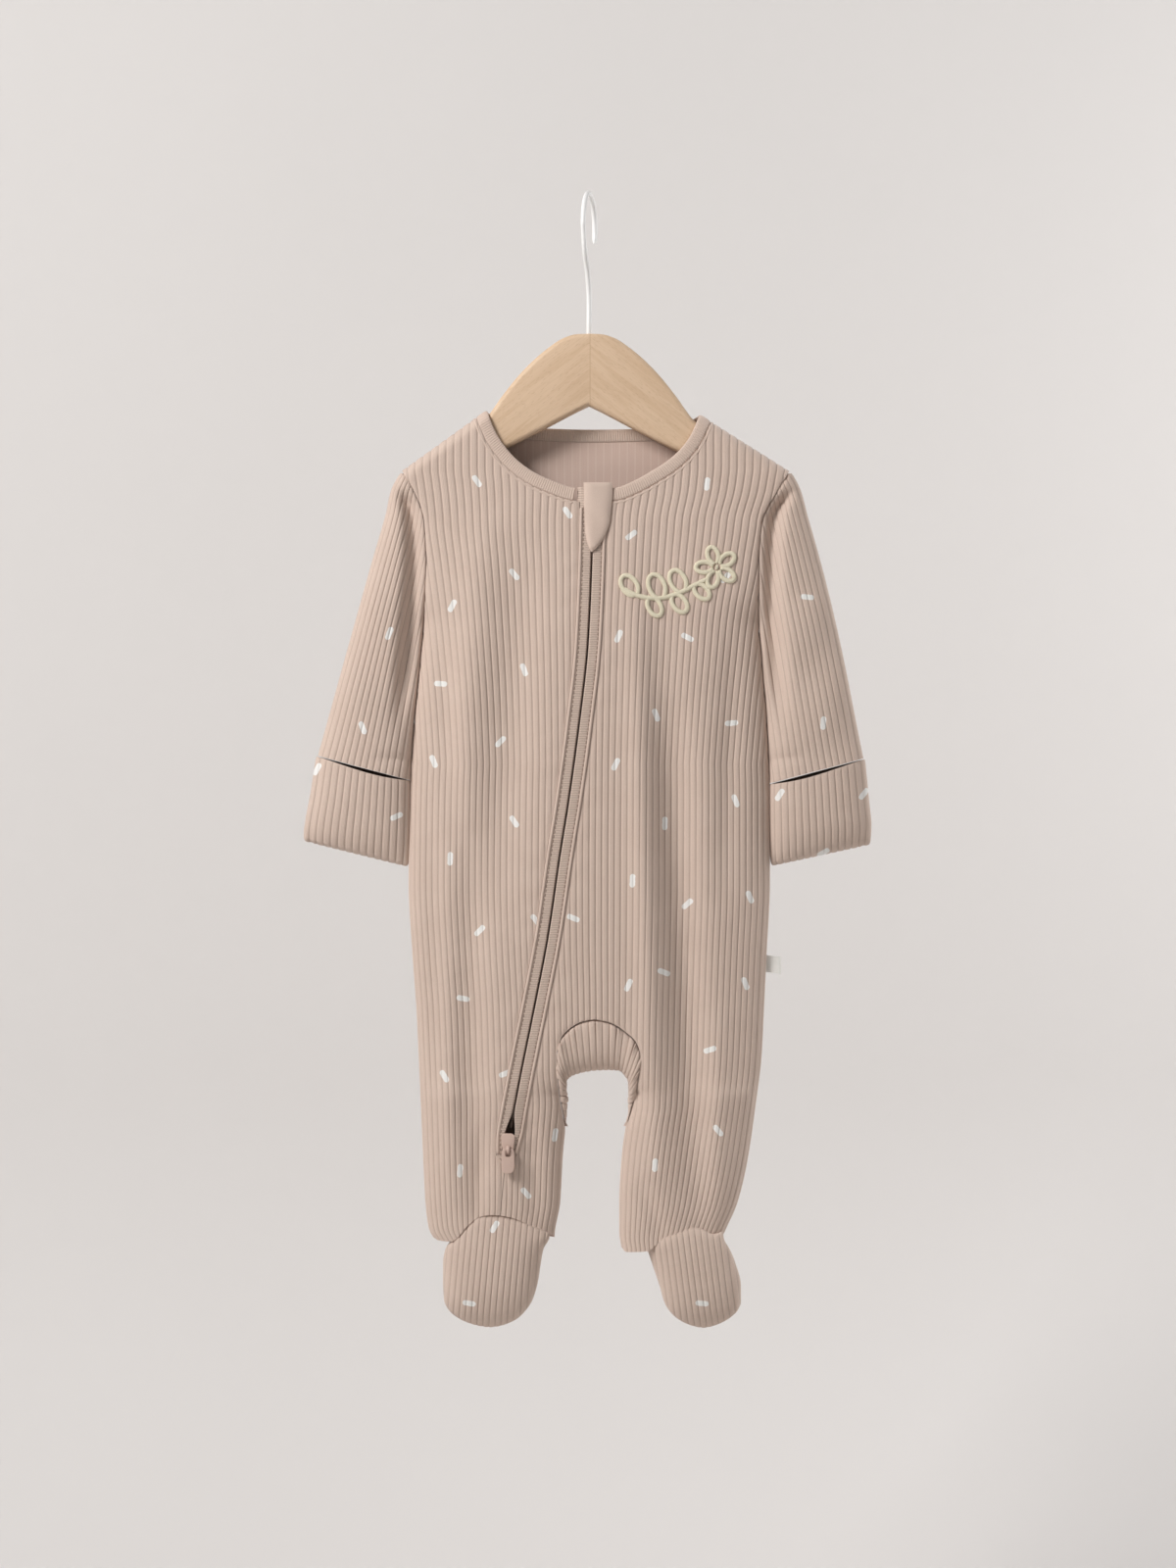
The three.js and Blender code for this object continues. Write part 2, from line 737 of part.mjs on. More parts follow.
const leftCuff = table('outerX outerZ innerX innerZ depth', [
  [-158.4, -326.0, -105.4, -340.0, 12.0],
  [-162.0, -349.0, -105.2, -362.6, 11.0],
  [-164.8, -367.0, -105.2, -381.0, 7.0],
  [-164.6, -373.6, -106.0, -388.2, 2.4],
]);
const rightCuff = table('outerX outerZ innerX innerZ depth', [
  [160.2, -327.6, 106.4, -342.2, 12.0],
  [162.6, -352.0, 106.4, -364.0, 11.0],
  [163.8, -370.0, 106.2, -382.0, 7.0],
  [162.8, -376.4, 106.8, -388.6, 2.4],
]);
const SLIT_SAG = 2.6; // how far the cuff's front edge hangs open in its middle

function cuffPoint(sections, column, row) {
  const half = CUFF_RIBS;
  const onFront = column <= half;
  const share = across((onFront ? column : 2 * half - column) / half);
  const section = sections[row];
  const sag = onFront && row === 0 ? SLIT_SAG * Math.sin(Math.PI * share) : 0;
  return new THREE.Vector3(
    mix(section.outerX, section.innerX, share),
    (onFront ? -1 : 1) * section.depth * lens(share),
    mix(section.outerZ, section.innerZ, share) - sag,
  );
}

function cuff(sections, direction) {
  return wall({
    columns: 2 * CUFF_RIBS,
    rows: sections.length,
    closed: true,
    capEnd: true,
    outward: direction,
    place: (column, row) => cuffPoint(sections, column, row),
  });
}

add('cuff_left', cuff(leftCuff, -1), ribbedCloth);
add('cuff_right', cuff(rightCuff, 1), ribbedCloth);

// Feet: the outline from the front, and how far the top and the sole stand off the seam

const leftFoot = table('z left right', [
  [-605.5, -79.8, -23.0],
  [-612, -83.4, -26.4],
  [-620, -84.9, -27.9],
  [-631, -84.9, -29.6],
  [-642, -84.4, -32.8],
  [-648, -81.6, -36.6],
  [-653, -75.4, -41.8],
  [-656.6, -66.0, -47.6],
]);
const rightFoot = table('z left right', [
  [-605.5, 32.6, 78.2],
  [-612, 33.8, 81.6],
  [-619, 36.0, 84.6],
  [-634, 41.0, 88.4],
  [-643, 43.6, 88.4],
  [-649, 47.8, 85.4],
  [-654, 54.0, 78.4],
  [-657, 61.6, 69.4],
]);
const footDepths = table('z top sole', [
  [-592, 11.2, 11.3],
  [-606, 12.6, 11.6],
  [-618, 13.4, 16.5],
  [-634, 12.6, 14.0],
  [-646, 9.6, 9.6],
  [-653, 5.6, 5.6],
  [-657, 2.6, 2.6],
]);
const footColumns = 2 * FOOT_RIBS;
const FOOT_GAP = 1.0; // under the hem, measured straight down
const footRows = [0, 0.22, 0.45, 0.65, 0.81, 0.92, 1];

function footPoint(outline, face, column, row) {
  const edge = { left: curve(outline, 'z', 'left'), right: curve(outline, 'z', 'right') };
  const depthLine = curve(footDepths, 'z', face);
  const share = across(column / footColumns);
  const hem = face === 'top' ? frontHem : backHem;
  const end = outline.at(-1).z;
  const topX = mix(edge.left(-605.5), edge.right(-605.5), share);
  const top = hem(topX) - FOOT_GAP;
  const z = mix(top, end, footRows[row]);
  const x = mix(edge.left(z), edge.right(z), share);
  const seam = -6 * (1 - smooth((-604 - z) / 18));
  const facing = face === 'top' ? -1 : 1;
  const depth = SEAM_GAP + depthLine(z) * lens(share);
  return new THREE.Vector3(x, seam * (1 - lens(share)) + facing * depth, z);
}

function foot(outline, face) {
  return wall({
    columns: footColumns,
    rows: footRows.length,
    outward: face === 'top' ? -1 : 1,
    flat: (c, r) => c === 0 || c === footColumns || r === footRows.length - 1,
    place: (column, row) => footPoint(outline, face, column, row),
  });
}

add('foot_top_left', foot(leftFoot, 'top'), ribbedCloth);
add('foot_top_right', foot(rightFoot, 'top'), ribbedCloth);
add('foot_sole_left', foot(leftFoot, 'sole'), ribbedCloth);
add('foot_sole_right', foot(rightFoot, 'sole'), ribbedCloth);

// Neck binding: a doubled strip whose lower edge lies on the panels' neck seam

const BINDING_WIDTH = 7.4;
const BINDING_THICKNESS = 2.6;
const BINDING_GAP = 0.95; // wider than a flat seam's, for the turn over the shoulder
const bindingStart = -9.3; // both ends butt against the zip
const bindingEnd = 11.0;

// How far the strip leans over the neck's opening, seen from the front
const frontLean = curve(table('x lean', [
  [NECK_LEFT, 0.84],
  [-63.2, 0.86],
  [-59.9, 0.82],
  [-45.6, 0.6],
  [-29.1, 0.4],
  [-9.3, 0.2],
  [11.0, -0.05],
  [25.0, -0.3],
  [41.0, -0.53],
  [58.1, -0.74],
  [67.0, -0.86],
  [NECK_RIGHT, -0.82],
]), 'x', 'lean');
const backLean = curve(table('x lean', [
  [NECK_LEFT, 0.84],
  [-62.0, 0.66],
  [-45.0, 0.25],
  [-25.0, 0.1],
  [30.0, -0.1],
  [50.0, -0.25],
  [66.0, -0.6],
  [NECK_RIGHT, -0.82],
]), 'x', 'lean');

function neckPoint(side, x, reach) {
  const lean = (side === 'front' ? frontLean : backLean)(x);
  const px = x + lean * reach;
  const pz = panelTop[side](x) + Math.sqrt(1 - lean * lean) * reach;
  return new THREE.Vector3(px, (side === 'front' ? -1 : 1) * bodyDepth(side, px, pz), pz);
}

// Points from the zip round by the left shoulder and the back to the zip again
function neckLine(reach) {
  const steps = 14;
  const quarter = (i) => Math.sin((Math.PI * i) / (2 * steps));
  const left = range(steps).map((i) => mix(bindingStart, NECK_LEFT, quarter(i)));
  const back = range(2 * steps + 1).map(
    (i) => mix(NECK_LEFT, NECK_RIGHT, (1 - Math.cos((Math.PI * i) / (2 * steps))) / 2),
  );
  const right = range(steps).map((i) => mix(bindingEnd, NECK_RIGHT, quarter(i))).reverse();
  return [
    ...left.map((x) => neckPoint('front', x, reach)),
    ...back.map((x) => neckPoint('back', x, reach)),
    ...right.map((x) => neckPoint('front', x, reach)),
  ];
}

// A strip carried along the neck: its section is a flat bar with cut corners
function binding() {
  const lower = neckLine(BINDING_GAP);
  const upper = neckLine(BINDING_WIDTH);
  const corner = 0.8;
  const halfThick = BINDING_THICKNESS / 2;
  const positions = [];
  for (const [i, low] of lower.entries()) {
    const high = upper[i];
    const ahead = lower[Math.min(lower.length - 1, i + 1)];
    const tangent = ahead.clone().sub(lower[Math.max(0, i - 1)]);
    const band = high.clone().sub(low);
    const halfWide = band.length() / 2;
    band.normalize();
    const out = tangent.clone().cross(band).normalize();
    const middle = low.clone().add(high).multiplyScalar(0.5).addScaledVector(out, 0.6);
    const outline = [
      [-halfWide + corner, halfThick], [halfWide - corner, halfThick],
      [halfWide, halfThick - corner], [halfWide, corner - halfThick],
      [halfWide - corner, -halfThick], [corner - halfWide, -halfThick],
      [-halfWide, corner - halfThick], [-halfWide, halfThick - corner],
    ];
    for (const [u, v] of outline) {
      const point = middle.clone().addScaledVector(band, u).addScaledVector(out, v);
      positions.push(point.x, point.y, point.z);
    }
  }
  return ringLoft(positions, lower.length, 8);
}

// A closed solid through equal rings, with flat ends
function ringLoft(positions, rings, sidesCount) {
  const triangles = [];
  for (let i = 0; i < rings - 1; i += 1) {
    for (let k = 0; k < sidesCount; k += 1) {
      const next = (k + 1) % sidesCount;
      const a = i * sidesCount + k;
      const b = i * sidesCount + next;
      triangles.push(a, b, b + sidesCount, a, b + sidesCount, a + sidesCount);
    }
  }
  const last = (rings - 1) * sidesCount;
  for (let k = 1; k < sidesCount - 1; k += 1) {
    triangles.push(0, k + 1, k, last, last + k, last + k + 1);
  }
  return closedGeometry(positions, triangles);
}

add('neck_binding', binding(), plainCloth);

// Zip: woven tapes in the corridor, the closed coil in their slit, slider and pull tab

const zipRows = 19;
const slitHalf = (z) => ZIP_SLIT + 2.2 * smooth((-528 - z) / 18);

function tapePoint(direction, column, row) {
  const z = mix(ZIP_TOP_Z, ZIP_END_Z + 0.5, row / (zipRows - 1));
  const outerEdge = corridor(z) - SEAM_GAP;
  const reach = mix(slitHalf(z), Math.max(slitHalf(z) + 1.2, outerEdge), column / 2);
  const x = zipLine(z) + direction * reach;
  return new THREE.Vector3(x, -bodyDepth('front', x, z) + 0.5, z);
}

for (const [name, direction] of [['zip_tape_left', -1], ['zip_tape_right', 1]]) {
  add(name, wall({
    columns: 2,
    rows: zipRows,
    insideColumns: everyStep(2, 1),
    rib: 0,
    thickness: 0.9,
    outward: -direction,
    place: (column, row) => tapePoint(direction, column, row),
  }), tapeCloth);
}

function coilPoint(column, row) {
  const z = mix(ZIP_TOP_Z - 1, -540, row / (zipRows - 1));
  const x = zipLine(z) + mix(-1, 1, column / 2) * (ZIP_SLIT - SEAM_GAP);
  return new THREE.Vector3(x, -bodyDepth('front', zipLine(z), z) + 0.9 - 0.25 * (column % 2), z);
}

add('zip_coil', wall({
  columns: 2,
  rows: zipRows,
  insideColumns: everyStep(2, 1),
  rib: 0,
  thickness: 1.1,
  outward: -1,
  place: coilPoint,
}), nylon);

// Zip guard: a smooth doubled tab that folds over the top of the zip
const guardOutline = table('z left right', [
  [-168.6, -4.4, 12.6],
  [-175, -3.0, 13.2],
  [-189, -2.6, 12.8],
  [-199, -2.0, 9.8],
  [-204, -1.0, 7.2],
  [-206.6, 0.4, 3.0],
]);
const guardLeft = curve(guardOutline, 'z', 'left');
const guardRight = curve(guardOutline, 'z', 'right');
const guardStations = [0, 0.2, 0.45, 0.7, 0.84, 0.94, 1];
const GUARD_LIFT = 3.0; // its outside over the panel's grooves

function guardPoint(column, row) {
  const z = mix(guardOutline[0].z, guardOutline.at(-1).z, guardStations[row]);
  const x = mix(guardLeft(z), guardRight(z), column / 4);
  return new THREE.Vector3(x, -bodyDepth('front', zipLine(z), z) - GUARD_LIFT, z);
}

add('zip_guard', wall({
  columns: 4,
  rows: guardStations.length,
  insideColumns: everyStep(4, 2),
  rib: 0,
  thickness: 1.8,
  outward: -1,
  place: guardPoint,
}), plainCloth);

// Slider: a plate over the tapes with a bow that holds the pull tab's top bar
const sliderX = -46.9;
const sliderTop = -545.6;
const sliderBottom = -557.4;
const sliderBack = -bodyDepth('front', sliderX, -551) - SEAM_GAP;
const plateThickness = 1.8;
const bowInner = 1.3;
const bowOuter = 2.3;
const bowWidth = 1.8;
const pivotZ = -553.4;
const pivotY = sliderBack - plateThickness - 1.3;

const plateOutline = [
  [-4.2, sliderTop], [-2.2, sliderTop + 1.4], [2.2, sliderTop + 1.4], [4.2, sliderTop],
  [3.0, sliderBottom + 3], [2.6, sliderBottom], [-2.6, sliderBottom], [-3.0, sliderBottom + 3],
].map(([x, z]) => [sliderX + x, z]);
const sliderPlate = prism(plateOutline, sliderBack - plateThickness, sliderBack, 0.4);

// The bow: a half ring about the pull tab's axis, with straight feet into the plate
function bow() {
  const arcSteps = 8;
  const feet = sliderBack - plateThickness + 0.4;
  const arc = (radius) => range(arcSteps + 1).map((i) => {
    const angle = (Math.PI * i) / arcSteps;
    return [pivotY - radius * Math.sin(angle), pivotZ + radius * Math.cos(angle)];
  });
  const outline = [
    [feet, pivotZ + bowOuter], ...arc(bowOuter), [feet, pivotZ - bowOuter],
    [feet, pivotZ - bowInner], ...arc(bowInner).reverse(), [feet, pivotZ + bowInner],
  ];
  const shape = new THREE.Shape(outline.map(([y, z]) => new THREE.Vector2(y, z)));
  const geometry = new THREE.ExtrudeGeometry(shape, { depth: bowWidth, bevelEnabled: false });
  const turn = new THREE.Matrix4().makeBasis(
    new THREE.Vector3(0, 1, 0), new THREE.Vector3(0, 0, 1), new THREE.Vector3(1, 0, 0),
  );
  geometry.applyMatrix4(turn);
  geometry.translate(sliderX - bowWidth / 2, 0, 0);
  return geometry;
}

add('zip_slider', fromSolid(solid(sliderPlate).add(solid(bow()))), enamel);

// Pull tab: a plate with a window; its top bar lies in the bow and is the hinge's axis
const tabHalfWidth = 3.7;
const tabThickness = 1.3;
const barHalf = 0.6;
const tabEnd = -567.4;
const tabOutline = [
  [-3.0, pivotZ + barHalf], [3.0, pivotZ + barHalf], [tabHalfWidth, pivotZ - 2],
  [tabHalfWidth, tabEnd + 2.4], [2.4, tabEnd + 0.6], [0, tabEnd],
  [-2.4, tabEnd + 0.6], [-tabHalfWidth, tabEnd + 2.4], [-tabHalfWidth, pivotZ - 2],
].map(([x, z]) => [sliderX + x, z]);
const tabPlate = prism(tabOutline, pivotY - tabThickness / 2, pivotY + tabThickness / 2, 0.25);
const tabWindow = prism([
  [sliderX - 1.6, pivotZ - barHalf], [sliderX + 1.6, pivotZ - barHalf],
  [sliderX + 1.6, pivotZ - 4.2], [sliderX - 1.6, pivotZ - 4.2],
], pivotY - 5, pivotY + 5);
add('zip_pull', fromSolid(solid(tabPlate).subtract(solid(tabWindow))), enamel);

// Side label, bare, held in the right side seam
const labelTop = -441.5;
const labelX = sideRight(-446) + 0.4;
add('side_label', prism([
  [labelX, labelTop], [labelX + 9, labelTop - 1.2],
  [labelX + 9, labelTop - 11], [labelX, labelTop - 9.8],
], -0.45, 0.45), labelCloth);

// Hanger: a beech arm with a bevelled edge, bored for the wire hook

const hangerHalf = table('x z', [
  [0, -80.4],
  [7, -80.6],
  [14, -82.4],
  [24.5, -89.3],
  [38, -101.6],
  [51, -117.4],
  [56, -124.6],
  [60, -129.8],
  [65, -134.0],
  [71, -137.8],
  [92, -152.8],
  [95.5, -156.4],
  [95.5, -165.0],
  [92, -168.6],
  [48.5, -147.2],
  [23.4, -134.3],
  [8, -126.2],
]);
const hangerOutline = [
  ...hangerHalf.map(({ x, z }) => [x, z]),
  [0, -122.3],
  ...hangerHalf.slice(1).reverse().map(({ x, z }) => [-x, z]),
];
const HANGER_BEVEL = 3.2;
const hangerBlank = prism(hangerOutline, -HANGER_THICKNESS / 2, HANGER_THICKNESS / 2, HANGER_BEVEL);
const boreDepth = 18;
const boreTop = -78;
const bore = new THREE.CylinderGeometry(
  HOOK_WIRE_RADIUS + SEAM_GAP, HOOK_WIRE_RADIUS + SEAM_GAP, boreDepth, 12,
);
bore.rotateX(Math.PI / 2);
bore.translate(0, 0, boreTop - boreDepth / 2);
add('hanger_wood', fromSolid(solid(hangerBlank).subtract(solid(bore))), beech);

// Hook: the wire rises from its bore, swings forward and bends over the rail
const crownZ = HOOK_WIRE_RADIUS - HOOK_RADIUS;
const hookTurn = (10 * Math.PI) / 180;
const stemPoints = [[0, boreTop - boreDepth + 1], [0, -75], [-0.2, -56], [-5.2, -44.5], [-14.6, -32.5]];
const crownPoints = range(9).map((i) => {
  const angle = Math.PI - (i * 205 * Math.PI) / (8 * 180);
  return [HOOK_RADIUS * Math.cos(angle), crownZ + HOOK_RADIUS * Math.sin(angle)];
});
const hookPath = new THREE.CatmullRomCurve3([...stemPoints, ...crownPoints].map(
  ([y, z]) => new THREE.Vector3(y * Math.sin(hookTurn), y * Math.cos(hookTurn), z),
), false, 'centripetal');
const wireSection = new THREE.Shape(range(8).map((i) => {
  const angle = (i * Math.PI) / 4;
  return new THREE.Vector2(
    HOOK_WIRE_RADIUS * Math.cos(angle), HOOK_WIRE_RADIUS * Math.sin(angle),
  );
}));
add('hanger_hook', new THREE.ExtrudeGeometry(wireSection, {
  steps: 28, bevelEnabled: false, extrudePath: hookPath,
}), whiteWire);

export default sleepsuit;
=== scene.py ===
# A footed baby sleepsuit of ribbed cotton, hanging on a small beech hanger.
#
# Every place is in millimetres until it goes into a mesh: X to the right of someone who looks
# at the front, the front facing -Y, and Z up from the inside of the hook's crown.

import bpy
import numpy as np
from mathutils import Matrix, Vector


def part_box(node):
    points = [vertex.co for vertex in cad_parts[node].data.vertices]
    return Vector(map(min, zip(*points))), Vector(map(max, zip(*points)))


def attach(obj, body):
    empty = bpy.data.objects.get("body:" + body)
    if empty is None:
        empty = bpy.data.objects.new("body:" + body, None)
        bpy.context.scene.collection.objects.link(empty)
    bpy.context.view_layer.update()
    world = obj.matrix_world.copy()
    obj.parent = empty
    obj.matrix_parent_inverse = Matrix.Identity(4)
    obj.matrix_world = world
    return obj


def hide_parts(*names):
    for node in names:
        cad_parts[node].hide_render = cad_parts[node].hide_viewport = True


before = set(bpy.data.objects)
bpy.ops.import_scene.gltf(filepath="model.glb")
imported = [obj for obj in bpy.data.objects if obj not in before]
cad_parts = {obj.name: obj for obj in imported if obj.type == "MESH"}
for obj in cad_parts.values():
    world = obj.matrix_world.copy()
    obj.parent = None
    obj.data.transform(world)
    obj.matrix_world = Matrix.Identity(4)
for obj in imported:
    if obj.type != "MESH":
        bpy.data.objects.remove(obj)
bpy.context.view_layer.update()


# The two front panels: ribbed cotton jersey, cut in one from the shoulder to the ankle and
# parted by the slanting zip. The ribs run down the cloth, wide and flat with narrow grooves.
# White marks are printed on it, scattered wide apart.

MM = 0.001
SEAM_GAP = 0.3
CLOTH_THICKNESS = 1.3  # in the grooves
RIB_HEIGHT = 0.5
BODY_RIBS = 60
RIB_STEPS = np.array([0, 0.08, 0.18, 0.38, 0.62, 0.82, 0.92])  # columns of one rib


def mix(a, b, share):
    """From a to b at an equal share of the way."""
    return a + (b - a) * share


def smooth(value):
    """0 below 0, 1 above 1, and 3 t squared less 2 t cubed between them."""
    t = np.clip(value, 0, 1)
    return t * t * (3 - 2 * t)


def curve(rows, column=1):
    """A smooth line through the rows' first column and another one, level past both ends.

    Between two points it is a cubic. Its slope at a point is the harmonic mean of the chords'
    slopes on both sides, or nought where one rises and the other falls, so it never overshoots.
    """
    points = np.array(sorted(row[: column + 1] for row in rows), float)
    at, value = points[:, 0], points[:, column]
    chord = np.diff(value) / np.diff(at)
    product, total = chord[:-1] * chord[1:], chord[:-1] + chord[1:]
    inner = np.where(product > 0, 2 * product / np.where(total == 0, 1, total), 0)
    slope = np.concatenate([chord[:1], inner, chord[-1:]])

    def line(where):
        where = np.clip(where, at[0], at[-1])
        i = np.clip(np.searchsorted(at, where, side="right") - 1, 0, len(at) - 2)
        span = at[i + 1] - at[i]
        t = (where - at[i]) / span
        bulge = t * (1 - t) * ((1 - t) * slope[i] - t * slope[i + 1]) * span
        return mix(value[i], value[i + 1], smooth(t)) + bulge

    return line


def lens(share, power=2.4):
    """Height of a flattened tube's half section, 0 at both edges and 1 in the middle."""
    return np.maximum(0, 1 - abs(2 * np.clip(share, 0, 1) - 1) ** power) ** (1 / power)


# A flattened tube's half section, 210 wide and 17 deep: share of its width by share of its cloth
section_turn = np.linspace(0, np.pi, 3001)
section_x = -np.sign(np.cos(section_turn)) * abs(np.cos(section_turn)) ** (2 / 2.4) * 105
section_y = abs(np.sin(section_turn)) ** (2 / 2.4) * 17
section_run = np.concatenate([[0], np.cumsum(np.hypot(np.diff(section_x), np.diff(section_y)))])
section_run /= section_run[-1]
section_width = (section_x + 105) / 210


def across(cloth_share):
    """Share of the width at a share of the cloth's length round a half section."""
    return np.interp(cloth_share, section_run, section_width)


def cloth_share(width_share):
    """Share of the cloth's length round a half section at a share of the width."""
    return np.interp(width_share, section_width, section_run)


# Outlines seen from the front: height, left edge, right edge
SIDES = [
    (-160, -108.5, 116.5), (-174, -100.3, 107.7), (-190, -95.2, 99.8), (-214, -94.0, 98.0),
    (-238, -95.2, 98.0), (-272, -98.0, 100.3), (-307, -101.5, 103.2), (-353, -104.0, 104.8),
    (-399, -104.5, 104.8), (-442, -102.2, 102.8), (-472, -100.0, 101.4), (-501, -98.6, 99.9),
    (-530, -97.3, 96.3), (-560, -96.0, 91.9), (-585, -94.7, 86.0), (-600, -92.8, 79.5),
    (-608, -88.5, 76.0),
]
INNER_LEGS = [
    (-510, -14.0, 23.4), (-527, -12.6, 23.4), (-541, -13.8, 21.4), (-559, -15.4, 19.1),
    (-585, -16.8, 17.7), (-603, -20.0, 17.7), (-612, -20.5, 19.0),
]
side_left, side_right = curve(SIDES, 1), curve(SIDES, 2)

# The cloth is cut wider than the garment towards the shoulders, so that the ribs there draw
# together downwards and end at the armholes. This is how much wider on each side, by height.
rib_spread = curve([
    (-160, 18.5), (-174, 24.0), (-190, 26.5), (-214, 23.5), (-238, 18.0), (-272, 10.5),
    (-300, 4.5), (-330, 0.0),
])
inner_left_line, inner_right_line = curve(INNER_LEGS, 1), curve(INNER_LEGS, 2)

# Heights of the panels' top and bottom edges across the garment
NECK_LEFT, NECK_RIGHT = -65.6, 70.7
front_neck = curve([
    (NECK_LEFT, -129.4), (-63.2, -136.0), (-59.9, -143.0), (-53.4, -152.6), (-45.6, -160.7),
    (-37.5, -166.6), (-29.1, -171.0), (-9.1, -177.8), (4.0, -179.0), (18.2, -177.3),
    (30.0, -172.6), (41.0, -166.4), (50.0, -160.6), (58.1, -153.4), (65.2, -144.0),
    (NECK_RIGHT, -131.7),
])
back_neck = curve([
    (NECK_LEFT, -129.4), (-60.0, -134.5), (-45.0, -139.6), (-25.0, -142.2), (2.0, -142.9),
    (30.0, -142.4), (50.0, -140.2), (64.0, -136.0), (NECK_RIGHT, -131.7),
])
front_hem = curve([
    (-93.0, -603.0), (-87.0, -606.8), (-80.0, -607.4), (-75.8, -604.6), (-70.7, -598.4),
    (-62.7, -592.8), (-55.9, -591.7), (-46.7, -592.8), (-37.6, -596.2), (-29.0, -600.8),
    (-20.0, -604.4), (17.7, -610.4), (22.0, -613.6), (34.2, -612.8), (39.9, -608.2),
    (46.7, -604.2), (53.6, -601.4), (60.4, -600.2), (66.1, -601.4), (71.8, -604.2),
    (79.0, -602.6),
])
back_hem = curve([(-93.0, -605.5), (-20.0, -605.5), (17.7, -611.5), (79.0, -604.0)])
crotch_line = curve([
    (-22.0, -521.0), (-16.5, -521.0), (-14.0, -516.0), (-10.0, -511.2), (0.0, -508.6),
    (10.0, -507.8), (17.0, -508.2), (21.0, -511.4), (24.0, -518.0), (27.0, -521.0),
    (32.0, -521.0),
])

# How far the cloth stands off the middle plane in front and behind
DEPTHS = [
    (-130, 9.6, 9.5), (-170, 10.2, 9.7), (-215, 13.5, 11.0), (-265, 17.0, 13.0),
    (-380, 18.0, 14.0), (-480, 16.5, 13.5), (-560, 14.0, 12.5), (-606, 11.5, 11.5),
]
full_depth = {"front": curve(DEPTHS, 1), "back": curve(DEPTHS, 2)}
armhole_depth = curve([(-160, 8.6), (-214, 8.4), (-234, 6.0), (-248, 0.0)])

# Soft folds that run down the cloth: side, top, bottom, x at the top and bottom, width, depth
FOLDS = [
    ("front", -365, -600, -70, -66, 9, 3.6),
    ("front", -290, -612, 47, 64, 11, 6.6),
    ("front", -225, -600, 27, 39, 8, -3.8),
    ("front", -250, -420, 84, 78, 7, 2.6),
    ("front", -250, -380, -84, -80, 7, 2.6),
    ("back", -210, -470, -42, -50, 12, 2.4),
    ("back", -230, -500, 38, 50, 12, 2.6),
    ("back", -400, -600, -62, -58, 9, 2.2),
    ("back", -410, -600, 58, 52, 9, 2.2),
    ("front", -195, -440, -36, -58, 14, 3.6),
    ("front", -185, -370, -62, -78, 12, -2.8),
    ("front", -190, -420, 40, 48, 14, 2.6),
    ("front", -300, -520, -94, -88, 6, 1.8),
    ("front", -470, -606, 76, 72, 7, -1.8),
    ("front", -520, -600, -36, -30, 6, 2.2),
    ("front", -540, -602, -62, -66, 5, 1.8),
    ("front", -570, -612, 30, 44, 6, 2.0),
    ("front", -440, -590, -84, -80, 6, -1.6),
    ("back", -180, -380, 4, -6, 11, 1.2),
    ("back", -330, -520, 80, 74, 8, 1.2),
]
CROTCH_TOP = -450
SHOULDER_ROUND = 7
LEFT_LEG, RIGHT_LEG = 46 / 108, 66 / 108  # cloth shares where the legs' inner edges start
left_leg_width, right_leg_width = across(LEFT_LEG), across(RIGHT_LEG)

# The zip's slit, and half the gap that the zip fills
zip_line = curve([
    (-165, 2.6), (-207, 1.7), (-260, -0.6), (-307, -5.7), (-353, -12.0), (-381, -16.5),
    (-431, -23.9), (-467, -30.8), (-515, -40.5), (-544, -45.8), (-562, -48.4), (-592, -51.3),
    (-640, -54.0),
])
zip_half = curve([(-545, 7.9), (-558, 5.6), (-561, 0.15)])

# The gusset's seam, down the left and right of its arch and along the inner legs
arch_left = curve([
    (-478.2, 3.4), (-479.4, -4.0), (-483.2, -10.8), (-489.0, -16.2), (-500.0, -18.9),
    (-515.0, -18.3), (-530.0, -16.4), (-543.0, -14.0), (-559.0, -15.4), (-585.0, -16.8),
    (-603.0, -20.0), (-612.0, -20.5),
])
arch_right = curve([
    (-478.2, 3.4), (-480.0, 12.0), (-485.0, 20.5), (-491.4, 27.2), (-499.0, 29.8),
    (-514.0, 28.6), (-530.0, 25.4), (-543.0, 21.2), (-559.0, 19.1), (-585.0, 17.7),
    (-603.0, 17.7), (-612.0, 19.0),
])


def leg_lines(z, spread=0.0):
    """The trunk's sides, and between them the legs' inner edges, which draw apart downwards."""
    left, right = side_left(z) - spread, side_right(z) + spread
    drawn = smooth((-430 - z) / 70)
    inner_left = mix(mix(left, right, left_leg_width), inner_left_line(z), drawn)
    inner_right = mix(mix(left, right, right_leg_width), inner_right_line(z), drawn)
    return left, inner_left, inner_right, right


def body_x(share, z):
    """Place across the garment of a share of the cloth: straight shares of the three stretches
    between the sides and the legs' inner edges."""
    width = across(share)
    left, inner_left, inner_right, right = leg_lines(z, rib_spread(z))
    on_left = mix(left, inner_left, width / left_leg_width)
    between = (width - left_leg_width) / (right_leg_width - left_leg_width)
    on_right = mix(inner_right, right, (width - right_leg_width) / (1 - right_leg_width))
    middle = mix(inner_left, inner_right, between)
    return np.where(width <= left_leg_width, on_left,
                    np.where(width >= right_leg_width, on_right, middle))


def body_share(x, z):
    """The other way round: the share of the cloth at a place across the garment."""
    left, inner_left, inner_right, right = leg_lines(z, rib_spread(z))
    on_left = left_leg_width * (x - left) / (inner_left - left)
    between = (x - inner_left) / (inner_right - inner_left)
    on_right = mix(right_leg_width, 1, (x - inner_right) / (right - inner_right))
    middle = mix(left_leg_width, right_leg_width, between)
    width = np.where(x <= inner_left, on_left, np.where(x >= inner_right, on_right, middle))
    return cloth_share(width)


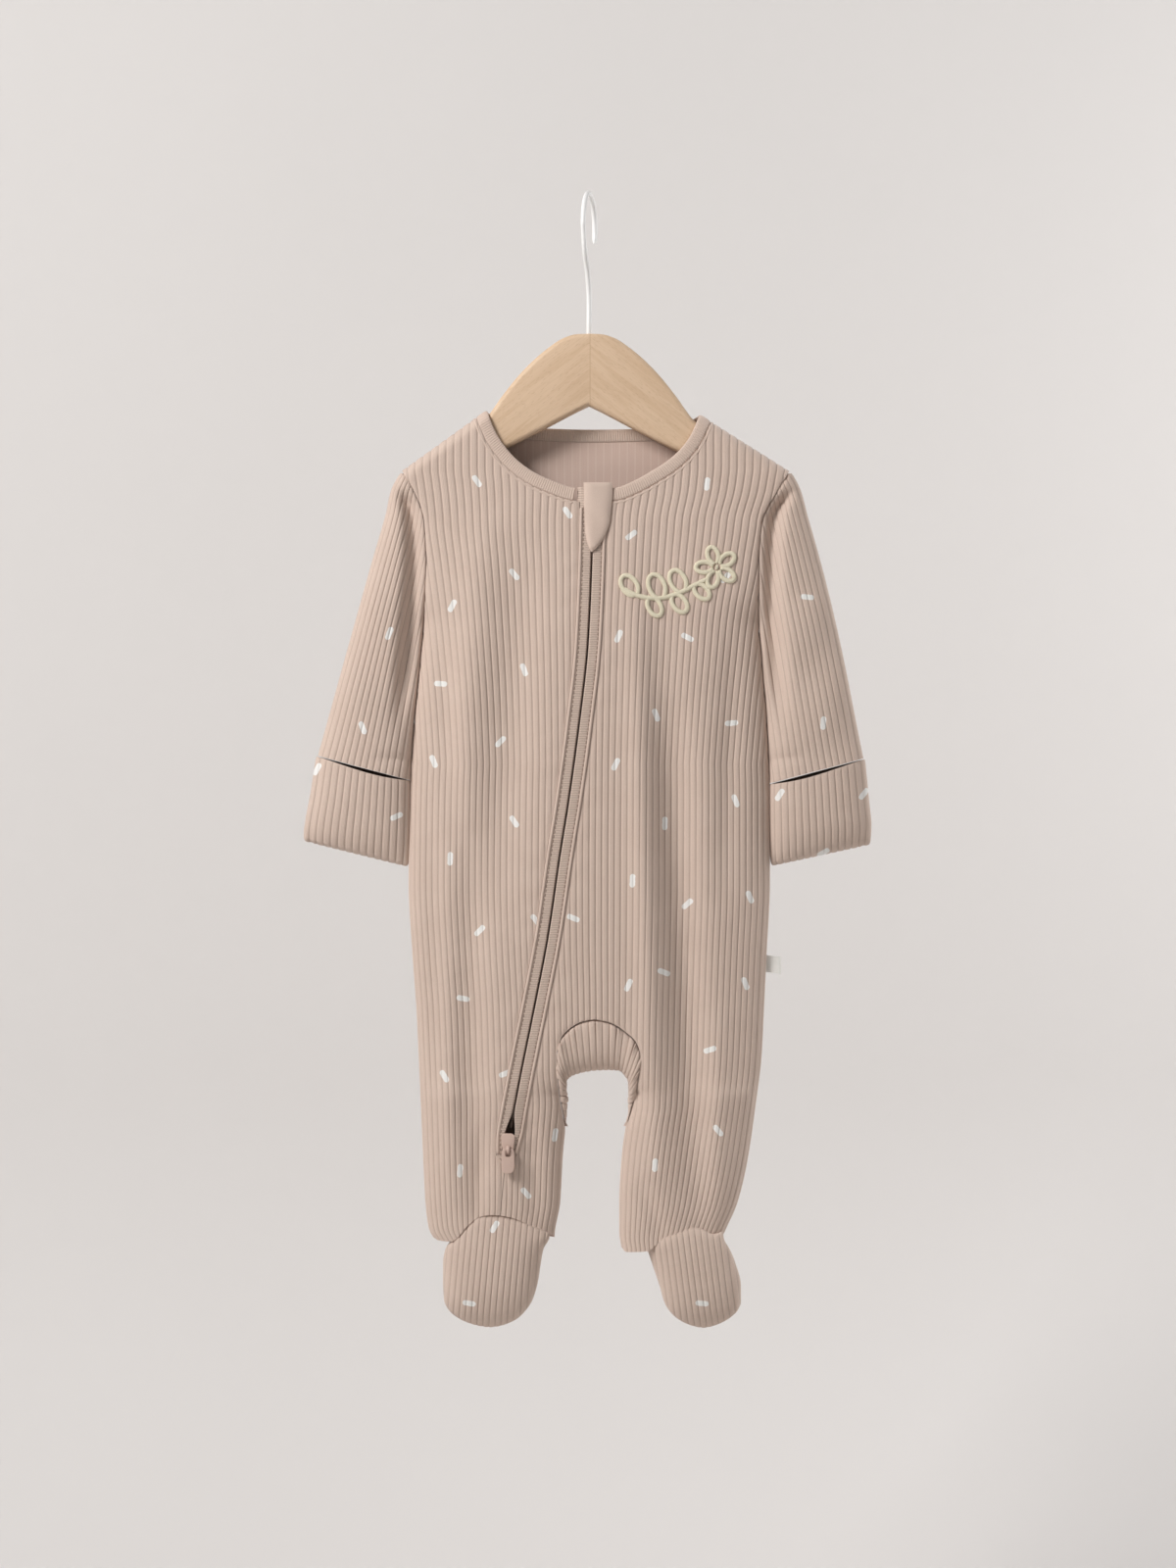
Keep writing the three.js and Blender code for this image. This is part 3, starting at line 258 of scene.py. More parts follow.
def body_depth(side, x, z):
    """Distance of the cloth from the middle plane.

    The trunk is a flattened tube. Towards the crotch it rounds in like a quarter circle and
    gives way to the legs' two flattened tubes. Folds are bell curves across their line, and
    the top turns over the shoulder on a quarter circle.
    """
    full, edge = full_depth[side](z), armhole_depth(z)
    left, inner_left, inner_right, right = leg_lines(z)
    trunk = mix(edge, full, lens((x - left) / (right - left)))
    on_left = lens((x - left) / (inner_left - left)) * (x < inner_left)
    on_right = lens((right - x) / (right - inner_right)) * (x > inner_right)
    fall = np.clip((CROTCH_TOP - z) / (CROTCH_TOP - crotch_line(x)), 0, 1)
    rounding = np.sqrt(1 - fall**4)
    depth = trunk * rounding + full * (on_left + on_right) * (1 - rounding)
    fold = np.zeros_like(depth)
    for fold_side, top, bottom, x_top, x_bottom, wide, deep in FOLDS:
        if fold_side == side:
            share = np.clip((top - z) / (top - bottom), 0, 1)
            away = (x - mix(x_top, x_bottom, share)) / wide
            fold = fold + deep * np.exp(-(away**2)) * np.sin(np.pi * share) ** 0.7
    if side == "front":
        beside = abs(x - zip_line(z)) - 11
        live = smooth((-190 - z) / 30) * smooth((z + 600) / 40)
        ripple = np.sin(z / 2.9 + 1.3 * np.sin(z / 17)) * np.sin(z / 31 + np.sign(x - zip_line(z)))
        fold = fold + 0.35 * live * ripple * np.exp(-((beside / 6) ** 2))
    shoulder = np.where(x < 0, -129.4 + 0.718 * (x - NECK_LEFT), -131.7 - 0.63 * (x - NECK_RIGHT))
    turn = np.clip((shoulder - z) / SHOULDER_ROUND, 0, 1)
    ridge = np.sqrt(1 - (1 - turn) ** 2)
    flat = smooth(depth / full)
    return SEAM_GAP / 2 + np.maximum(0, (depth - flat * fold) * ridge)


def unit(vectors):
    """Vectors of length one."""
    return vectors / np.maximum(np.linalg.norm(vectors, axis=-1, keepdims=True), 1e-9)


def surface_normal(surface, facing, x, z, at_edge):
    """Unit vectors out of the surface y = surface(x, z), from its slopes over a short step.

    facing is -1 in front and 1 behind. At an edge they lie in the middle plane.
    """
    step = 0.15
    slope_x = (surface(x + step, z) - surface(x - step, z)) / (2 * step)
    slope_z = (surface(x, z + step) - surface(x, z - step)) / (2 * step)
    return unit(np.stack(
        [-facing * slope_x, np.where(at_edge, 0, facing), -facing * slope_z], -1))


def body_surface(side):
    """The trunk's front or back as y of x and z."""
    facing = -1 if side == "front" else 1
    return lambda x, z: facing * body_depth(side, x, z)


def body_normal(side, x, z):
    """Unit vectors out of the trunk's front or back."""
    facing = -1 if side == "front" else 1
    edge = body_depth(side, x, z) <= SEAM_GAP
    return surface_normal(body_surface(side), facing, x, z, edge)


def rib_height(phase):
    """Height of the ribs over the grooves: steep sides and a slightly crowned top."""
    away = abs(phase - np.round(phase))
    return RIB_HEIGHT * (0.85 * smooth(away / 0.17) + 0.15 * (1 - (1 - 2 * away) ** 2))


# Rows of a panel, from the top edge to the hem
DROPS = np.array([0, 0.3, 0.8, 1.5, 2.4, 3.5, 5, 7, 9.0])
YOKE = np.linspace(0, 1, 27)[1:]
ARCH_ROWS = [-478.2, -478.45, -478.9, -479.6, -480.5, -481.7, -483, -484.6, -486.4, -488.5,
             -491, -494, -497, -500]
LEVELS = np.concatenate([np.arange(-253, -477, -3.1), ARCH_ROWS, np.arange(-503, -550, -3)])
ANKLE = 1 - (1 - np.linspace(0, 1, 20)[1:]) ** 1.3
ROWS = len(DROPS) + len(YOKE) + len(LEVELS) + len(ANKLE)
SPLIT = len(DROPS) + len(YOKE) + int(np.argmin(abs(LEVELS + 478.2)))
EDGES = {"front": (front_neck, front_hem), "back": (back_neck, back_hem)}


def top_edge(side, x):
    """The neck seam, and outside it the shoulder seams."""
    shoulder = np.where(x < 0, -129.4 + 0.718 * (x - NECK_LEFT), -131.7 - 0.63 * (x - NECK_RIGHT))
    return np.where((x < NECK_LEFT) | (x > NECK_RIGHT), shoulder, EDGES[side][0](x))


def height_on(edge, share, start):
    """Height at which a share's line down the cloth meets an edge, found step by step."""
    z = np.full(share.shape, float(start))
    for _ in range(30):
        z = mix(z, edge(body_x(share, z)), 0.7)
    return z


def body_rows(side):
    """A function that gives the heights of all rows of a panel for shares of the cloth."""
    drops, yoke = len(DROPS), len(DROPS) + len(YOKE)
    levels = yoke + len(LEVELS)

    def heights(share):
        z = np.empty(share.shape)
        top = height_on(lambda x: top_edge(side, x), share[:yoke], -165)
        hem = height_on(EDGES[side][1], share[levels:], -600)
        z[:drops] = top[:drops] - DROPS[:, None]
        z[drops:yoke] = mix(top[drops:] - DROPS[-1], -250, YOKE[:, None])
        z[yoke:levels] = LEVELS[:, None]
        z[levels:] = mix(LEVELS[-1], hem, ANKLE[:, None])
        return z

    return heights


def share_at(heights, share_of, edge, count):
    """For every row, the share at which the row meets an edge that is x of z."""
    share = np.full((count, 1), 0.5)
    for _ in range(40):
        z = heights(share)
        share = mix(share, share_of(edge(z), z), 0.8)
    return share


def grid_faces(number):
    """Two triangles for every cell of a grid of point numbers."""
    a, b, c, d = number[:-1, :-1], number[:-1, 1:], number[1:, 1:], number[1:, :-1]
    return np.stack([a, b, c, a, c, d], -1).reshape(-1, 3)


def fan_rim(outside, inside, kept, forward):
    """Triangles between an edge of the outside and the fewer points of the inside's edge.

    Each step of the outside goes to the nearest inside point, and a last triangle closes each
    change from one inside point to the next.
    """
    middle = np.arange(len(outside) - 1) + 0.5
    near = abs(middle[:, None] - kept[None]).argmin(1)
    change = np.flatnonzero(np.diff(near)) + 1
    steps = np.stack([outside[1:], outside[:-1], inside[near]], -1)
    turns = np.stack([outside[change], inside[near[change - 1]], inside[near[change]]], -1)
    faces = np.concatenate([steps, turns])
    return faces if forward else faces[:, ::-1]


def cloth_wall(base, out, raised, kept, rims="tblr", thickness=CLOTH_THICKNESS):
    """A wall of cloth: its outside is base + out x raised and its inside base - out x thickness.

    base and out are rows x columns x 3. The inside keeps the columns in kept. rims names the
    edges that are closed: top, bottom, left and right. Gives points, faces and the grid place
    of every point, as (row, column, 0 outside or 1 inside).
    """
    rows, columns = base.shape[:2]
    kept = np.asarray(kept)
    outside = base + out * raised[..., None]
    inside = (base - out * thickness)[:, kept]
    number = np.arange(rows * columns).reshape(rows, columns)
    under = rows * columns + np.arange(rows * len(kept)).reshape(rows, len(kept))
    faces = [grid_faces(number), grid_faces(under)[:, ::-1]]
    if "t" in rims:
        faces.append(fan_rim(number[0], under[0], kept, True))
    if "b" in rims:
        faces.append(fan_rim(number[-1], under[-1], kept, False))
    if "l" in rims:
        faces.append(grid_faces(np.stack([number[:, 0], under[:, 0]], -1))[:, ::-1])
    if "r" in rims:
        faces.append(grid_faces(np.stack([number[:, -1], under[:, -1]], -1)))
    row, column = np.mgrid[0:rows, 0:columns]
    place = np.concatenate([
        np.stack([row, column, 0 * row], -1).reshape(-1, 3),
        np.stack([row, column, 0 * row + 1], -1)[:, kept].reshape(-1, 3),
    ])
    return np.concatenate([outside.reshape(-1, 3), inside.reshape(-1, 3)]), \
        np.concatenate(faces), place


MARKS = {
    # Middles of the printed marks, x and z, and their lean from level, in degrees
    "front_left": [
        (-65.0, -166.4, -55), (-12.5, -184.7, -55), (-43.3, -220.6, -50), (-79.2, -238.8, 62),
        (-37.6, -275.9, -70), (-86.1, -283.9, -4), (-51.3, -317.5, 45), (-90.1, -328.9, -68),
        (-43.3, -363.7, -55), (-80.4, -385.3, 88), (-63.3, -426.9, 45), (-30.8, -420.7, -52),
        (-73.0, -466.3, -12), (-83.8, -511.3, -58), (-48.4, -509.6, 20), (-74.7, -566.0, 85),
        (-36.5, -579.1, -50),
    ],
    "front_right": [
        (68.4, -168.1, 84), (24.5, -197.8, 38), (79.2, -222.3, 48), (17.1, -256.5, 66),
        (57.0, -257.1, -28), (38.8, -302.1, -68), (82.6, -306.7, 5), (15.4, -330.6, 64),
        (84.9, -351.7, -68), (43.9, -364.8, 88), (25.1, -397.9, 87), (57.0, -411.5, 42),
        (93.2, -407.5, -66), (-9.1, -419.5, -22), (43.3, -450.9, -22), (22.8, -458.3, 66),
        (90.6, -457.7, -68), (70.1, -495.9, 18), (-19.7, -545.5, 80), (74.7, -542.6, -50),
        (38.2, -562.6, 86), (-36.5, -579.1, -50),
    ],
    "back": [
        (-58.0, -175.0, 40), (12.0, -170.0, -62), (66.0, -188.0, 12), (-20.0, -205.0, 86),
        (38.0, -222.0, -40), (-72.0, -232.0, -70), (0.0, -252.0, 28), (82.0, -246.0, 72),
        (-44.0, -276.0, -8), (54.0, -284.0, 60), (-84.0, -304.0, 48), (14.0, -312.0, -55),
        (-26.0, -338.0, 75), (84.0, -330.0, -25), (46.0, -352.0, 40), (-66.0, -366.0, -48),
        (-4.0, -384.0, 10), (74.0, -392.0, 84), (26.0, -412.0, -66), (-40.0, -416.0, 34),
        (-82.0, -436.0, 80), (58.0, -440.0, 20), (-10.0, -448.0, -72), (86.0, -474.0, -50),
        (-52.0, -478.0, -20), (42.0, -494.0, 64), (-84.0, -520.0, -38), (-38.0, -534.0, 70),
        (74.0, -532.0, 30), (38.0, -566.0, -60), (-66.0, -578.0, 15), (62.0, -590.0, 82),
    ],
}
FAR_AWAY = 99.0


def print_places(corners, marks):
    """Where each corner lies from the nearest mark's middle, in millimetres along and across it.

    One triangle takes all three corners from one mark: the offset, turned by the mark's lean.
    """
    if not marks:
        return np.full(corners.shape[:2] + (2,), FAR_AWAY)
    marks = np.array(marks, float)
    flat = corners[..., [0, 2]]
    away = np.linalg.norm(flat.mean(1)[:, None] - marks[None, :, :2], axis=2)
    mark = marks[away.argmin(1)]
    offset = flat - mark[:, None, :2]
    lean = np.radians(mark[:, 2])[:, None]
    along = offset[..., 0] * np.cos(lean) + offset[..., 1] * np.sin(lean)
    beside = offset[..., 1] * np.cos(lean) - offset[..., 0] * np.sin(lean)
    return np.stack([along, beside], -1)


def new_piece(name, points, faces, material, layers=None, sharp=None):
    """A mesh object at the origin from millimetre points and triangles, with smooth shading.

    Points at one place become one. Empty triangles go, and so do two that lie back to back
    where two walls join. All faces turn outwards, because the sum of the corners' triple
    products is then positive. layers holds corner values for UV
    maps by name, and sharp is the angle in degrees past which an edge stays sharp.
    """
    keys = np.round(points * 4000).astype(np.int64)
    _, first, merged = np.unique(keys, axis=0, return_index=True, return_inverse=True)
    new_faces = merged.reshape(-1)[faces]
    _, alike, copies = np.unique(np.sort(new_faces, axis=1), axis=0, return_inverse=True,
                                 return_counts=True)
    real = ((new_faces[:, 0] != new_faces[:, 1]) & (new_faces[:, 1] != new_faces[:, 2])
            & (new_faces[:, 0] != new_faces[:, 2]) & (copies[alike.reshape(-1)] == 1))
    new_faces = new_faces[real]
    points = points[first]
    a, b, c = (points[new_faces[:, k]] for k in range(3))
    order = slice(None) if (a * np.cross(b, c)).sum() > 0 else slice(None, None, -1)
    new_faces = np.ascontiguousarray(new_faces[:, order])
    mesh = bpy.data.meshes.new(name)
    mesh.vertices.add(len(points))
    mesh.vertices.foreach_set("co", (points * MM).astype(np.float32).ravel())
    mesh.loops.add(new_faces.size)
    mesh.loops.foreach_set("vertex_index", new_faces.astype(np.int32).ravel())
    mesh.polygons.add(len(new_faces))
    mesh.polygons.foreach_set("loop_start", np.arange(0, new_faces.size, 3, dtype=np.int32))
    for layer, values in (layers or {}).items():
        chosen = np.ascontiguousarray(values[real][:, order], dtype=np.float32)
        mesh.uv_layers.new(name=layer).data.foreach_set("uv", chosen.ravel())
    mesh.update(calc_edges=True)
    mesh.validate()
    mesh.shade_smooth()
    if sharp is not None:
        mesh.set_sharp_from_angle(angle=np.radians(sharp))
    mesh.materials.append(material)
    piece = bpy.data.objects.new(name, mesh)
    bpy.context.scene.collection.objects.link(piece)
    return piece


def cloth_part(base, out, raised, kept, phase, run, marks, rims="tblr"):
    """A wall of ribbed cloth with its UV maps and the area of its cut.

    The map "cloth" counts ribs across and millimetres down, "print" is the place from the
    nearest mark, and "side" is 0 outside and 1 inside. phase and run are grids like base.
    """
    points, faces, place = cloth_wall(base, out, raised, kept, rims)
    row, column, inside = place.T
    prints = print_places(points[faces], marks)
    prints[inside[faces].max(1) > 0] = FAR_AWAY
    layers = {
        "cloth": np.stack([phase[row, column], run[row, column]], -1)[faces],
        "print": prints,
        "side": np.repeat(inside[faces][..., None].astype(float), 2, -1),
    }
    return points, faces, layers, cut_area(base)


def cut_area(base):
    """Area of a piece's cloth in square metres, from the two triangles of every grid cell."""
    a, b, c, d = base[:-1, :-1], base[:-1, 1:], base[1:, 1:], base[1:, :-1]
    cells = np.linalg.norm(np.cross(b - a, c - a), axis=-1)
    cells = cells + np.linalg.norm(np.cross(c - a, d - a), axis=-1)
    return float(cells.sum()) / 2 * MM * MM


def put_node(tree, kind, inputs=None, **settings):
    """Adds a shader node, with its settings, and links or sets its inputs."""
    node = tree.nodes.new(kind)
    for key, value in settings.items():
        setattr(node, key, value)
    for key, value in (inputs or {}).items():
        if isinstance(value, bpy.types.NodeSocket):
            tree.links.new(value, node.inputs[key])
        else:
            node.inputs[key].default_value = value
    return node


def calc(tree, operation, *values):
    """The output of a Math node on up to three values."""
    return put_node(tree, "ShaderNodeMath", dict(enumerate(values)), operation=operation).outputs[0]


def blend_colour(tree, share, a, b):
    """The output of a colour mix from a to b."""
    node = put_node(tree, "ShaderNodeMix", {0: share, 6: a, 7: b}, data_type="RGBA")
    return node.outputs[2]


def step_between(tree, value, low, high):
    """0 below low, 1 above high, and a smooth rise between them."""
    node = put_node(tree, "ShaderNodeMapRange", {0: value, 1: low, 2: high},
                    interpolation_type="SMOOTHSTEP")
    return node.outputs[0]


def new_group(name, inputs, outputs):
    """A shader node group with named sockets; a socket is its name, its kind and its value."""
    tree = bpy.data.node_groups.new(name, "ShaderNodeTree")
    for in_out, sockets in (("INPUT", inputs), ("OUTPUT", outputs)):
        for socket in sockets:
            made = tree.interface.new_socket(
                socket[0], in_out=in_out, socket_type="NodeSocket" + socket[1])
            if len(socket) > 2:
                made.default_value = socket[2]
    return tree, tree.nodes.new("NodeGroupInput").outputs, tree.nodes.new("NodeGroupOutput").inputs


# Ribs and fine knit. Place is the "cloth" map: ribs across, millimetres down.
knit, given, result = new_group(
    "Ribbed knit",
    [("Place", "Vector"), ("Groove Width", "Float", 0.10), ("Stitches a Rib", "Float", 5.0),
     ("Stitch Length", "Float", 0.62)],
    [("Groove", "Float"), ("Height", "Float")])
parts = put_node(knit, "ShaderNodeSeparateXYZ", {0: given["Place"]}).outputs
whole = calc(knit, "ROUND", parts[0])
away = calc(knit, "ABSOLUTE", calc(knit, "SUBTRACT", parts[0], whole))
inverse = calc(knit, "DIVIDE", away, given["Groove Width"])
groove = calc(knit, "SUBTRACT", 1.0, step_between(knit, inverse, 0.0, 1.0))
knit.links.new(groove, result["Groove"])
wale = calc(knit, "MULTIPLY", parts[0], given["Stitches a Rib"])
beside_wale = calc(knit, "ABSOLUTE", calc(knit, "SUBTRACT", wale, calc(knit, "ROUND", wale)))
course = calc(knit, "DIVIDE", parts[1], given["Stitch Length"])
slanted = calc(knit, "ADD", course, beside_wale)  # the two legs of every knitted V
leg_wave = calc(knit, "SINE", calc(knit, "MULTIPLY", slanted, 6.2832))
wale_wave = calc(knit, "COSINE", calc(knit, "MULTIPLY", wale, 6.2832))
both = calc(knit, "ADD", calc(knit, "MULTIPLY", leg_wave, 0.5), wale_wave)
knit.links.new(calc(knit, "MULTIPLY", both, 0.5), result["Height"])

# Slow changes of tone and loose fibres, on object coordinates
tone, given, result = new_group(
    "Cloth tone",
    [("Vector", "Vector"), ("Patch Size", "Float", 55.0), ("Fibre Size", "Float", 2600.0)],
    [("Patches", "Float"), ("Fibres", "Float")])
patches = put_node(tone, "ShaderNodeTexNoise",
                   {"Vector": given["Vector"], "Scale": given["Patch Size"], "Detail": 3.0})
fibres = put_node(tone, "ShaderNodeTexNoise",
                  {"Vector": given["Vector"], "Scale": given["Fibre Size"], "Detail": 2.0})
tone.links.new(patches.outputs[0], result["Patches"])
tone.links.new(fibres.outputs[0], result["Fibres"])

# A printed mark: a rounded bar about the middle that the "print" map counts from
mark, given, result = new_group(
    "Printed mark",
    [("Place", "Vector"), ("Half Length", "Float", 2.35), ("Half Width", "Float", 1.6),
     ("Vector", "Vector")],
    [("Mask", "Float")])
parts = put_node(mark, "ShaderNodeSeparateXYZ", {0: given["Place"]}).outputs
past_end = calc(mark, "MAXIMUM", calc(mark, "SUBTRACT", calc(mark, "ABSOLUTE", parts[0]),
                                      given["Half Length"]), 0.0)
squared = calc(mark, "ADD", calc(mark, "POWER", past_end, 2.0),
               calc(mark, "MULTIPLY", parts[1], parts[1]))
distance = calc(mark, "SQRT", squared)
uneven = put_node(mark, "ShaderNodeTexNoise",
                  {"Vector": given["Vector"], "Scale": 700.0, "Detail": 2.0}).outputs[0]
edge = calc(mark, "SUBTRACT", calc(mark, "ADD", distance, calc(mark, "MULTIPLY", uneven, 0.5)),
            given["Half Width"])
mark.links.new(calc(mark, "SUBTRACT", 1.0, step_between(mark, edge, 0.05, 0.4)), result["Mask"])


def new_material(name, **constants):
    """A material with a Principled shader; constants set its sockets by name."""
    material = bpy.data.materials.new(name)
    material.use_nodes = True
    tree = material.node_tree
    shader = tree.nodes["Principled BSDF"]
    for key, value in constants.items():
        shader.inputs[key.replace("_", " ")].default_value = value
    return material, tree, shader


def ribbed_cotton(name, colour, shade, printed=True):
    """Ribbed jersey: painted shade darkens the grooves, fine knit, soft patches, and white marks
    over it all.
    """
    material, tree, shader = new_material(
        name, Roughness=0.92, Sheen_Weight=0.22, Sheen_Roughness=0.5, Specular_IOR_Level=0.25)
    place = put_node(tree, "ShaderNodeUVMap", uv_map="cloth").outputs[0]
    where = put_node(tree, "ShaderNodeTexCoord").outputs["Object"]
    ribs = put_node(tree, "ShaderNodeGroup", node_tree=knit)
    tree.links.new(place, ribs.inputs["Place"])
    changes = put_node(tree, "ShaderNodeGroup", node_tree=tone)
    tree.links.new(where, changes.inputs["Vector"])
    patch = step_between(tree, changes.outputs["Patches"], 0.3, 0.7)
    soft = blend_colour(tree, calc(tree, "MULTIPLY", patch, 0.35), colour, shade)
    fibre = step_between(tree, changes.outputs["Fibres"], 0.35, 0.75)
    soft = blend_colour(tree, calc(tree, "MULTIPLY", fibre, 0.18), soft, (0.80, 0.70, 0.62, 1))
    sides = put_node(tree, "ShaderNodeUVMap", uv_map="side").outputs[0]
    inside = put_node(tree, "ShaderNodeSeparateXYZ", {0: sides}).outputs[0]
    outside = calc(tree, "SUBTRACT", 1.0, inside)
    # Painted shade: the outside's grooves are darkened towards about half the shade colour,
    # standing in for the shadow in them.
    groove_shade_share = calc(tree, "MULTIPLY", calc(tree, "MULTIPLY", ribs.outputs["Groove"], outside), 0.42)
    wear_and_groove_shaded = blend_colour(tree, groove_shade_share, soft, tuple(0.52 * c for c in shade[:3]) + (1,))
    reverse = calc(tree, "MULTIPLY", ribs.outputs["Groove"], inside)
    pink = blend_colour(tree, calc(tree, "MULTIPLY", inside, 0.5), wear_and_groove_shaded, (0.62, 0.45, 0.39, 1))
    both = blend_colour(tree, calc(tree, "MULTIPLY", reverse, 0.45), pink, (0.78, 0.66, 0.58, 1))
    if printed:
        marks = put_node(tree, "ShaderNodeGroup", node_tree=mark)
        tree.links.new(put_node(tree, "ShaderNodeUVMap", uv_map="print").outputs[0],
                       marks.inputs["Place"])
        tree.links.new(where, marks.inputs["Vector"])
        # The marks cover the grooves a little less, so some of the painted groove shade shows
        # through them.
        cover = calc(tree, "SUBTRACT", 0.9, calc(tree, "MULTIPLY", ribs.outputs["Groove"], 0.12))
        shown = calc(tree, "MULTIPLY", marks.outputs["Mask"], cover)
        both = blend_colour(tree, shown, both, (0.83, 0.83, 0.81, 1))
    tree.links.new(both, shader.inputs["Base Color"])
    fuzz = calc(tree, "ADD", ribs.outputs["Height"],
                calc(tree, "MULTIPLY", changes.outputs["Fibres"], 1.5))
    bump = put_node(tree, "ShaderNodeBump",
                    {"Strength": 0.45, "Distance": 0.00012, "Height": fuzz})
    tree.links.new(bump.outputs[0], shader.inputs["Normal"])
    return material


COTTON = (0.605, 0.474, 0.398, 1)
COTTON_SHADE = (0.550, 0.420, 0.348, 1)
ribbed = ribbed_cotton("Ribbed cotton", COTTON, COTTON_SHADE)

rib_columns = (np.arange(BODY_RIBS)[:, None] + RIB_STEPS[None]).ravel() / BODY_RIBS
rib_columns = np.concatenate([rib_columns, [1.0]])
last_column = len(rib_columns) - 1
arch_share = float(body_share(np.array(3.4), np.array(-478.2)))
arch_column = int(abs(rib_columns - arch_share).argmin())  # at the top of the gusset's arch


def body_part(side, marks, first, last, low=side_left, high=side_right, fork=None,
              rows=(0, ROWS), rims="tblr", seams=()):
    """Part of a trunk panel between two columns of the ribs and between two edges, x of z.

    The columns run down the ribs. Past an edge they gather on it, so the cut follows the edge
    and the ribs stay straight. Below its first row a leg ends at the fork as well, one side of
    the gusset's arch. seams are the edges where the cloth is pressed flat.
    """
    heights = body_rows(side)
    share = np.repeat(rib_columns[None, first:last + 1], ROWS, 0)
    share = np.maximum(share, share_at(heights, body_share, low, ROWS))
    share = np.minimum(share, share_at(heights, body_share, high, ROWS))
    if fork is not None:
        below = np.arange(ROWS)[:, None] > rows[0]
        limit = share_at(heights, body_share, fork, ROWS)
        within = np.minimum if fork is arch_left else np.maximum
        share = np.where(below, within(share, limit), share)
    chosen = slice(rows[0], rows[1])
    z = heights(share)[chosen]
    share = share[chosen]
    x = body_x(share, z)
    facing = -1 if side == "front" else 1
    base = np.stack([x, facing * body_depth(side, x, z), z], -1)
    pressed = np.ones_like(x)
    for seam in seams:
        pressed = pressed * mix(0.25, 1, smooth((abs(x - seam(z)) - 0.3) / 2.2))
    raised = rib_height(share * BODY_RIBS) * pressed
    kept = [c for c in range(last - first + 1)
            if (first + c) % len(RIB_STEPS) == 0 or first + c in (first, arch_column, last)]
    return cloth_part(base, body_normal(side, x, z), raised, kept, share * BODY_RIBS, z,
                      MARKS[marks], rims)


def ribbed_piece(name, node, parts):
    """Joins parts into one piece of ribbed cloth, and gives it with its cut's area."""
    starts = np.cumsum([0] + [len(part[0]) for part in parts])
    points = np.concatenate([part[0] for part in parts])
    faces = np.concatenate([part[1] + start for part, start in zip(parts, starts)])
    layers = {key: np.concatenate([part[2][key] for part in parts]) for key in parts[0][2]}
    piece = new_piece(name, points, faces, ribbed, layers, sharp=75)
    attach(piece, "garment")
    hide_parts(node)
    return piece, round(sum(part[3] for part in parts), 4)


def zip_left_edge(z):
    """The left panel's cut edge along the zip, as x of z."""
    return zip_line(z) - zip_half(z)


def zip_right_edge(z):
    """The right panel's cut edge along the zip, as x of z."""
    return zip_line(z) + zip_half(z)


left_end = int(np.searchsorted(rib_columns, 0.53))
right_start = int(np.searchsorted(rib_columns, 0.19))

front_left, area = ribbed_piece("cloth_front_left", "front_left", [
    body_part("front", "front_left", 0, left_end, high=zip_left_edge, seams=[zip_left_edge]),
])

front_right, area = ribbed_piece("cloth_front_right", "front_right", [
    body_part("front", "front_right", right_start, last_column, low=zip_right_edge,
              rows=(0, SPLIT + 1), rims="tlr", seams=[zip_right_edge]),
    body_part("front", "front_right", right_start, arch_column, low=zip_right_edge,
              fork=arch_left, rows=(SPLIT, ROWS), rims="blr", seams=[zip_right_edge, arch_left]),
    body_part("front", "front_right", arch_column, last_column, fork=arch_right,
              rows=(SPLIT, ROWS), rims="blr", seams=[arch_right]),
])


# The back: one piece of the same ribbed cotton, from the shoulders down both legs to the heels.
# Its shoulder seams and side seams meet the fronts. Its inside shows at the neck.

back, area = ribbed_piece("cloth_back", "back", [
    body_part("back", "back", 0, last_column, rows=(0, SPLIT + 1), rims="tlr"),
    body_part("back", "back", 0, arch_column, fork=arch_left, rows=(SPLIT, ROWS), rims="blr",
              seams=[arch_left]),
    body_part("back", "back", arch_column, last_column, fork=arch_right, rows=(SPLIT, ROWS),
              rims="blr", seams=[arch_right]),
])


# The sleeves: each a tube of ribbed cotton, sewn into the armhole and flattened as it hangs.
# Next to the armhole seam the cloth sinks into a trough behind the body's edge.

ARM_RIBS = 15  # on one face
SLEEVES = {
    # Lines across the flat sleeve, from its outer edge to where its inner ribs would reach
    # inside the body: outer x, outer z, inner x, inner z, half depth
    "left": [
        (-109.6, -161.5, -74.0, -168.0, 7.0), (-113.8, -169.0, -76.0, -178.0, 9.6),
        (-117.8, -185.0, -79.0, -197.0, 12.0), (-126.2, -214.0, -85.0, -228.0, 13.0),
        (-136.0, -249.0, -92.0, -262.0, 12.8), (-157.3, -325.6, -103.9, -339.8, 11.8),
    ],
    "right": [
        (117.6, -161.5, 80.0, -168.0, 7.0), (121.6, -168.6, 82.0, -178.0, 9.6),
        (127.0, -187.0, 85.0, -198.0, 12.0), (134.6, -214.0, 89.0, -228.0, 13.0),
        (142.8, -247.0, 94.0, -261.0, 12.8), (159.2, -327.2, 104.9, -341.6, 11.8),
    ],
}
SLEEVE_AT = np.array([0, 8.0, 24.5, 54.5, 90.9, 170.4])  # millimetres down the outer edge
MARKS.update({
    "sleeve left front": [(-115.7, -254.8, 68), (-131.1, -309.5, -68)],
    "sleeve left back": [(-112.0, -240.0, -40), (-128.0, -286.0, 30)],
    "sleeve right front": [(126.5, -233.7, -5), (135.7, -306.7, 86)],
    "sleeve right back": [(118.0, -262.0, 50), (138.0, -300.0, -30)],
})


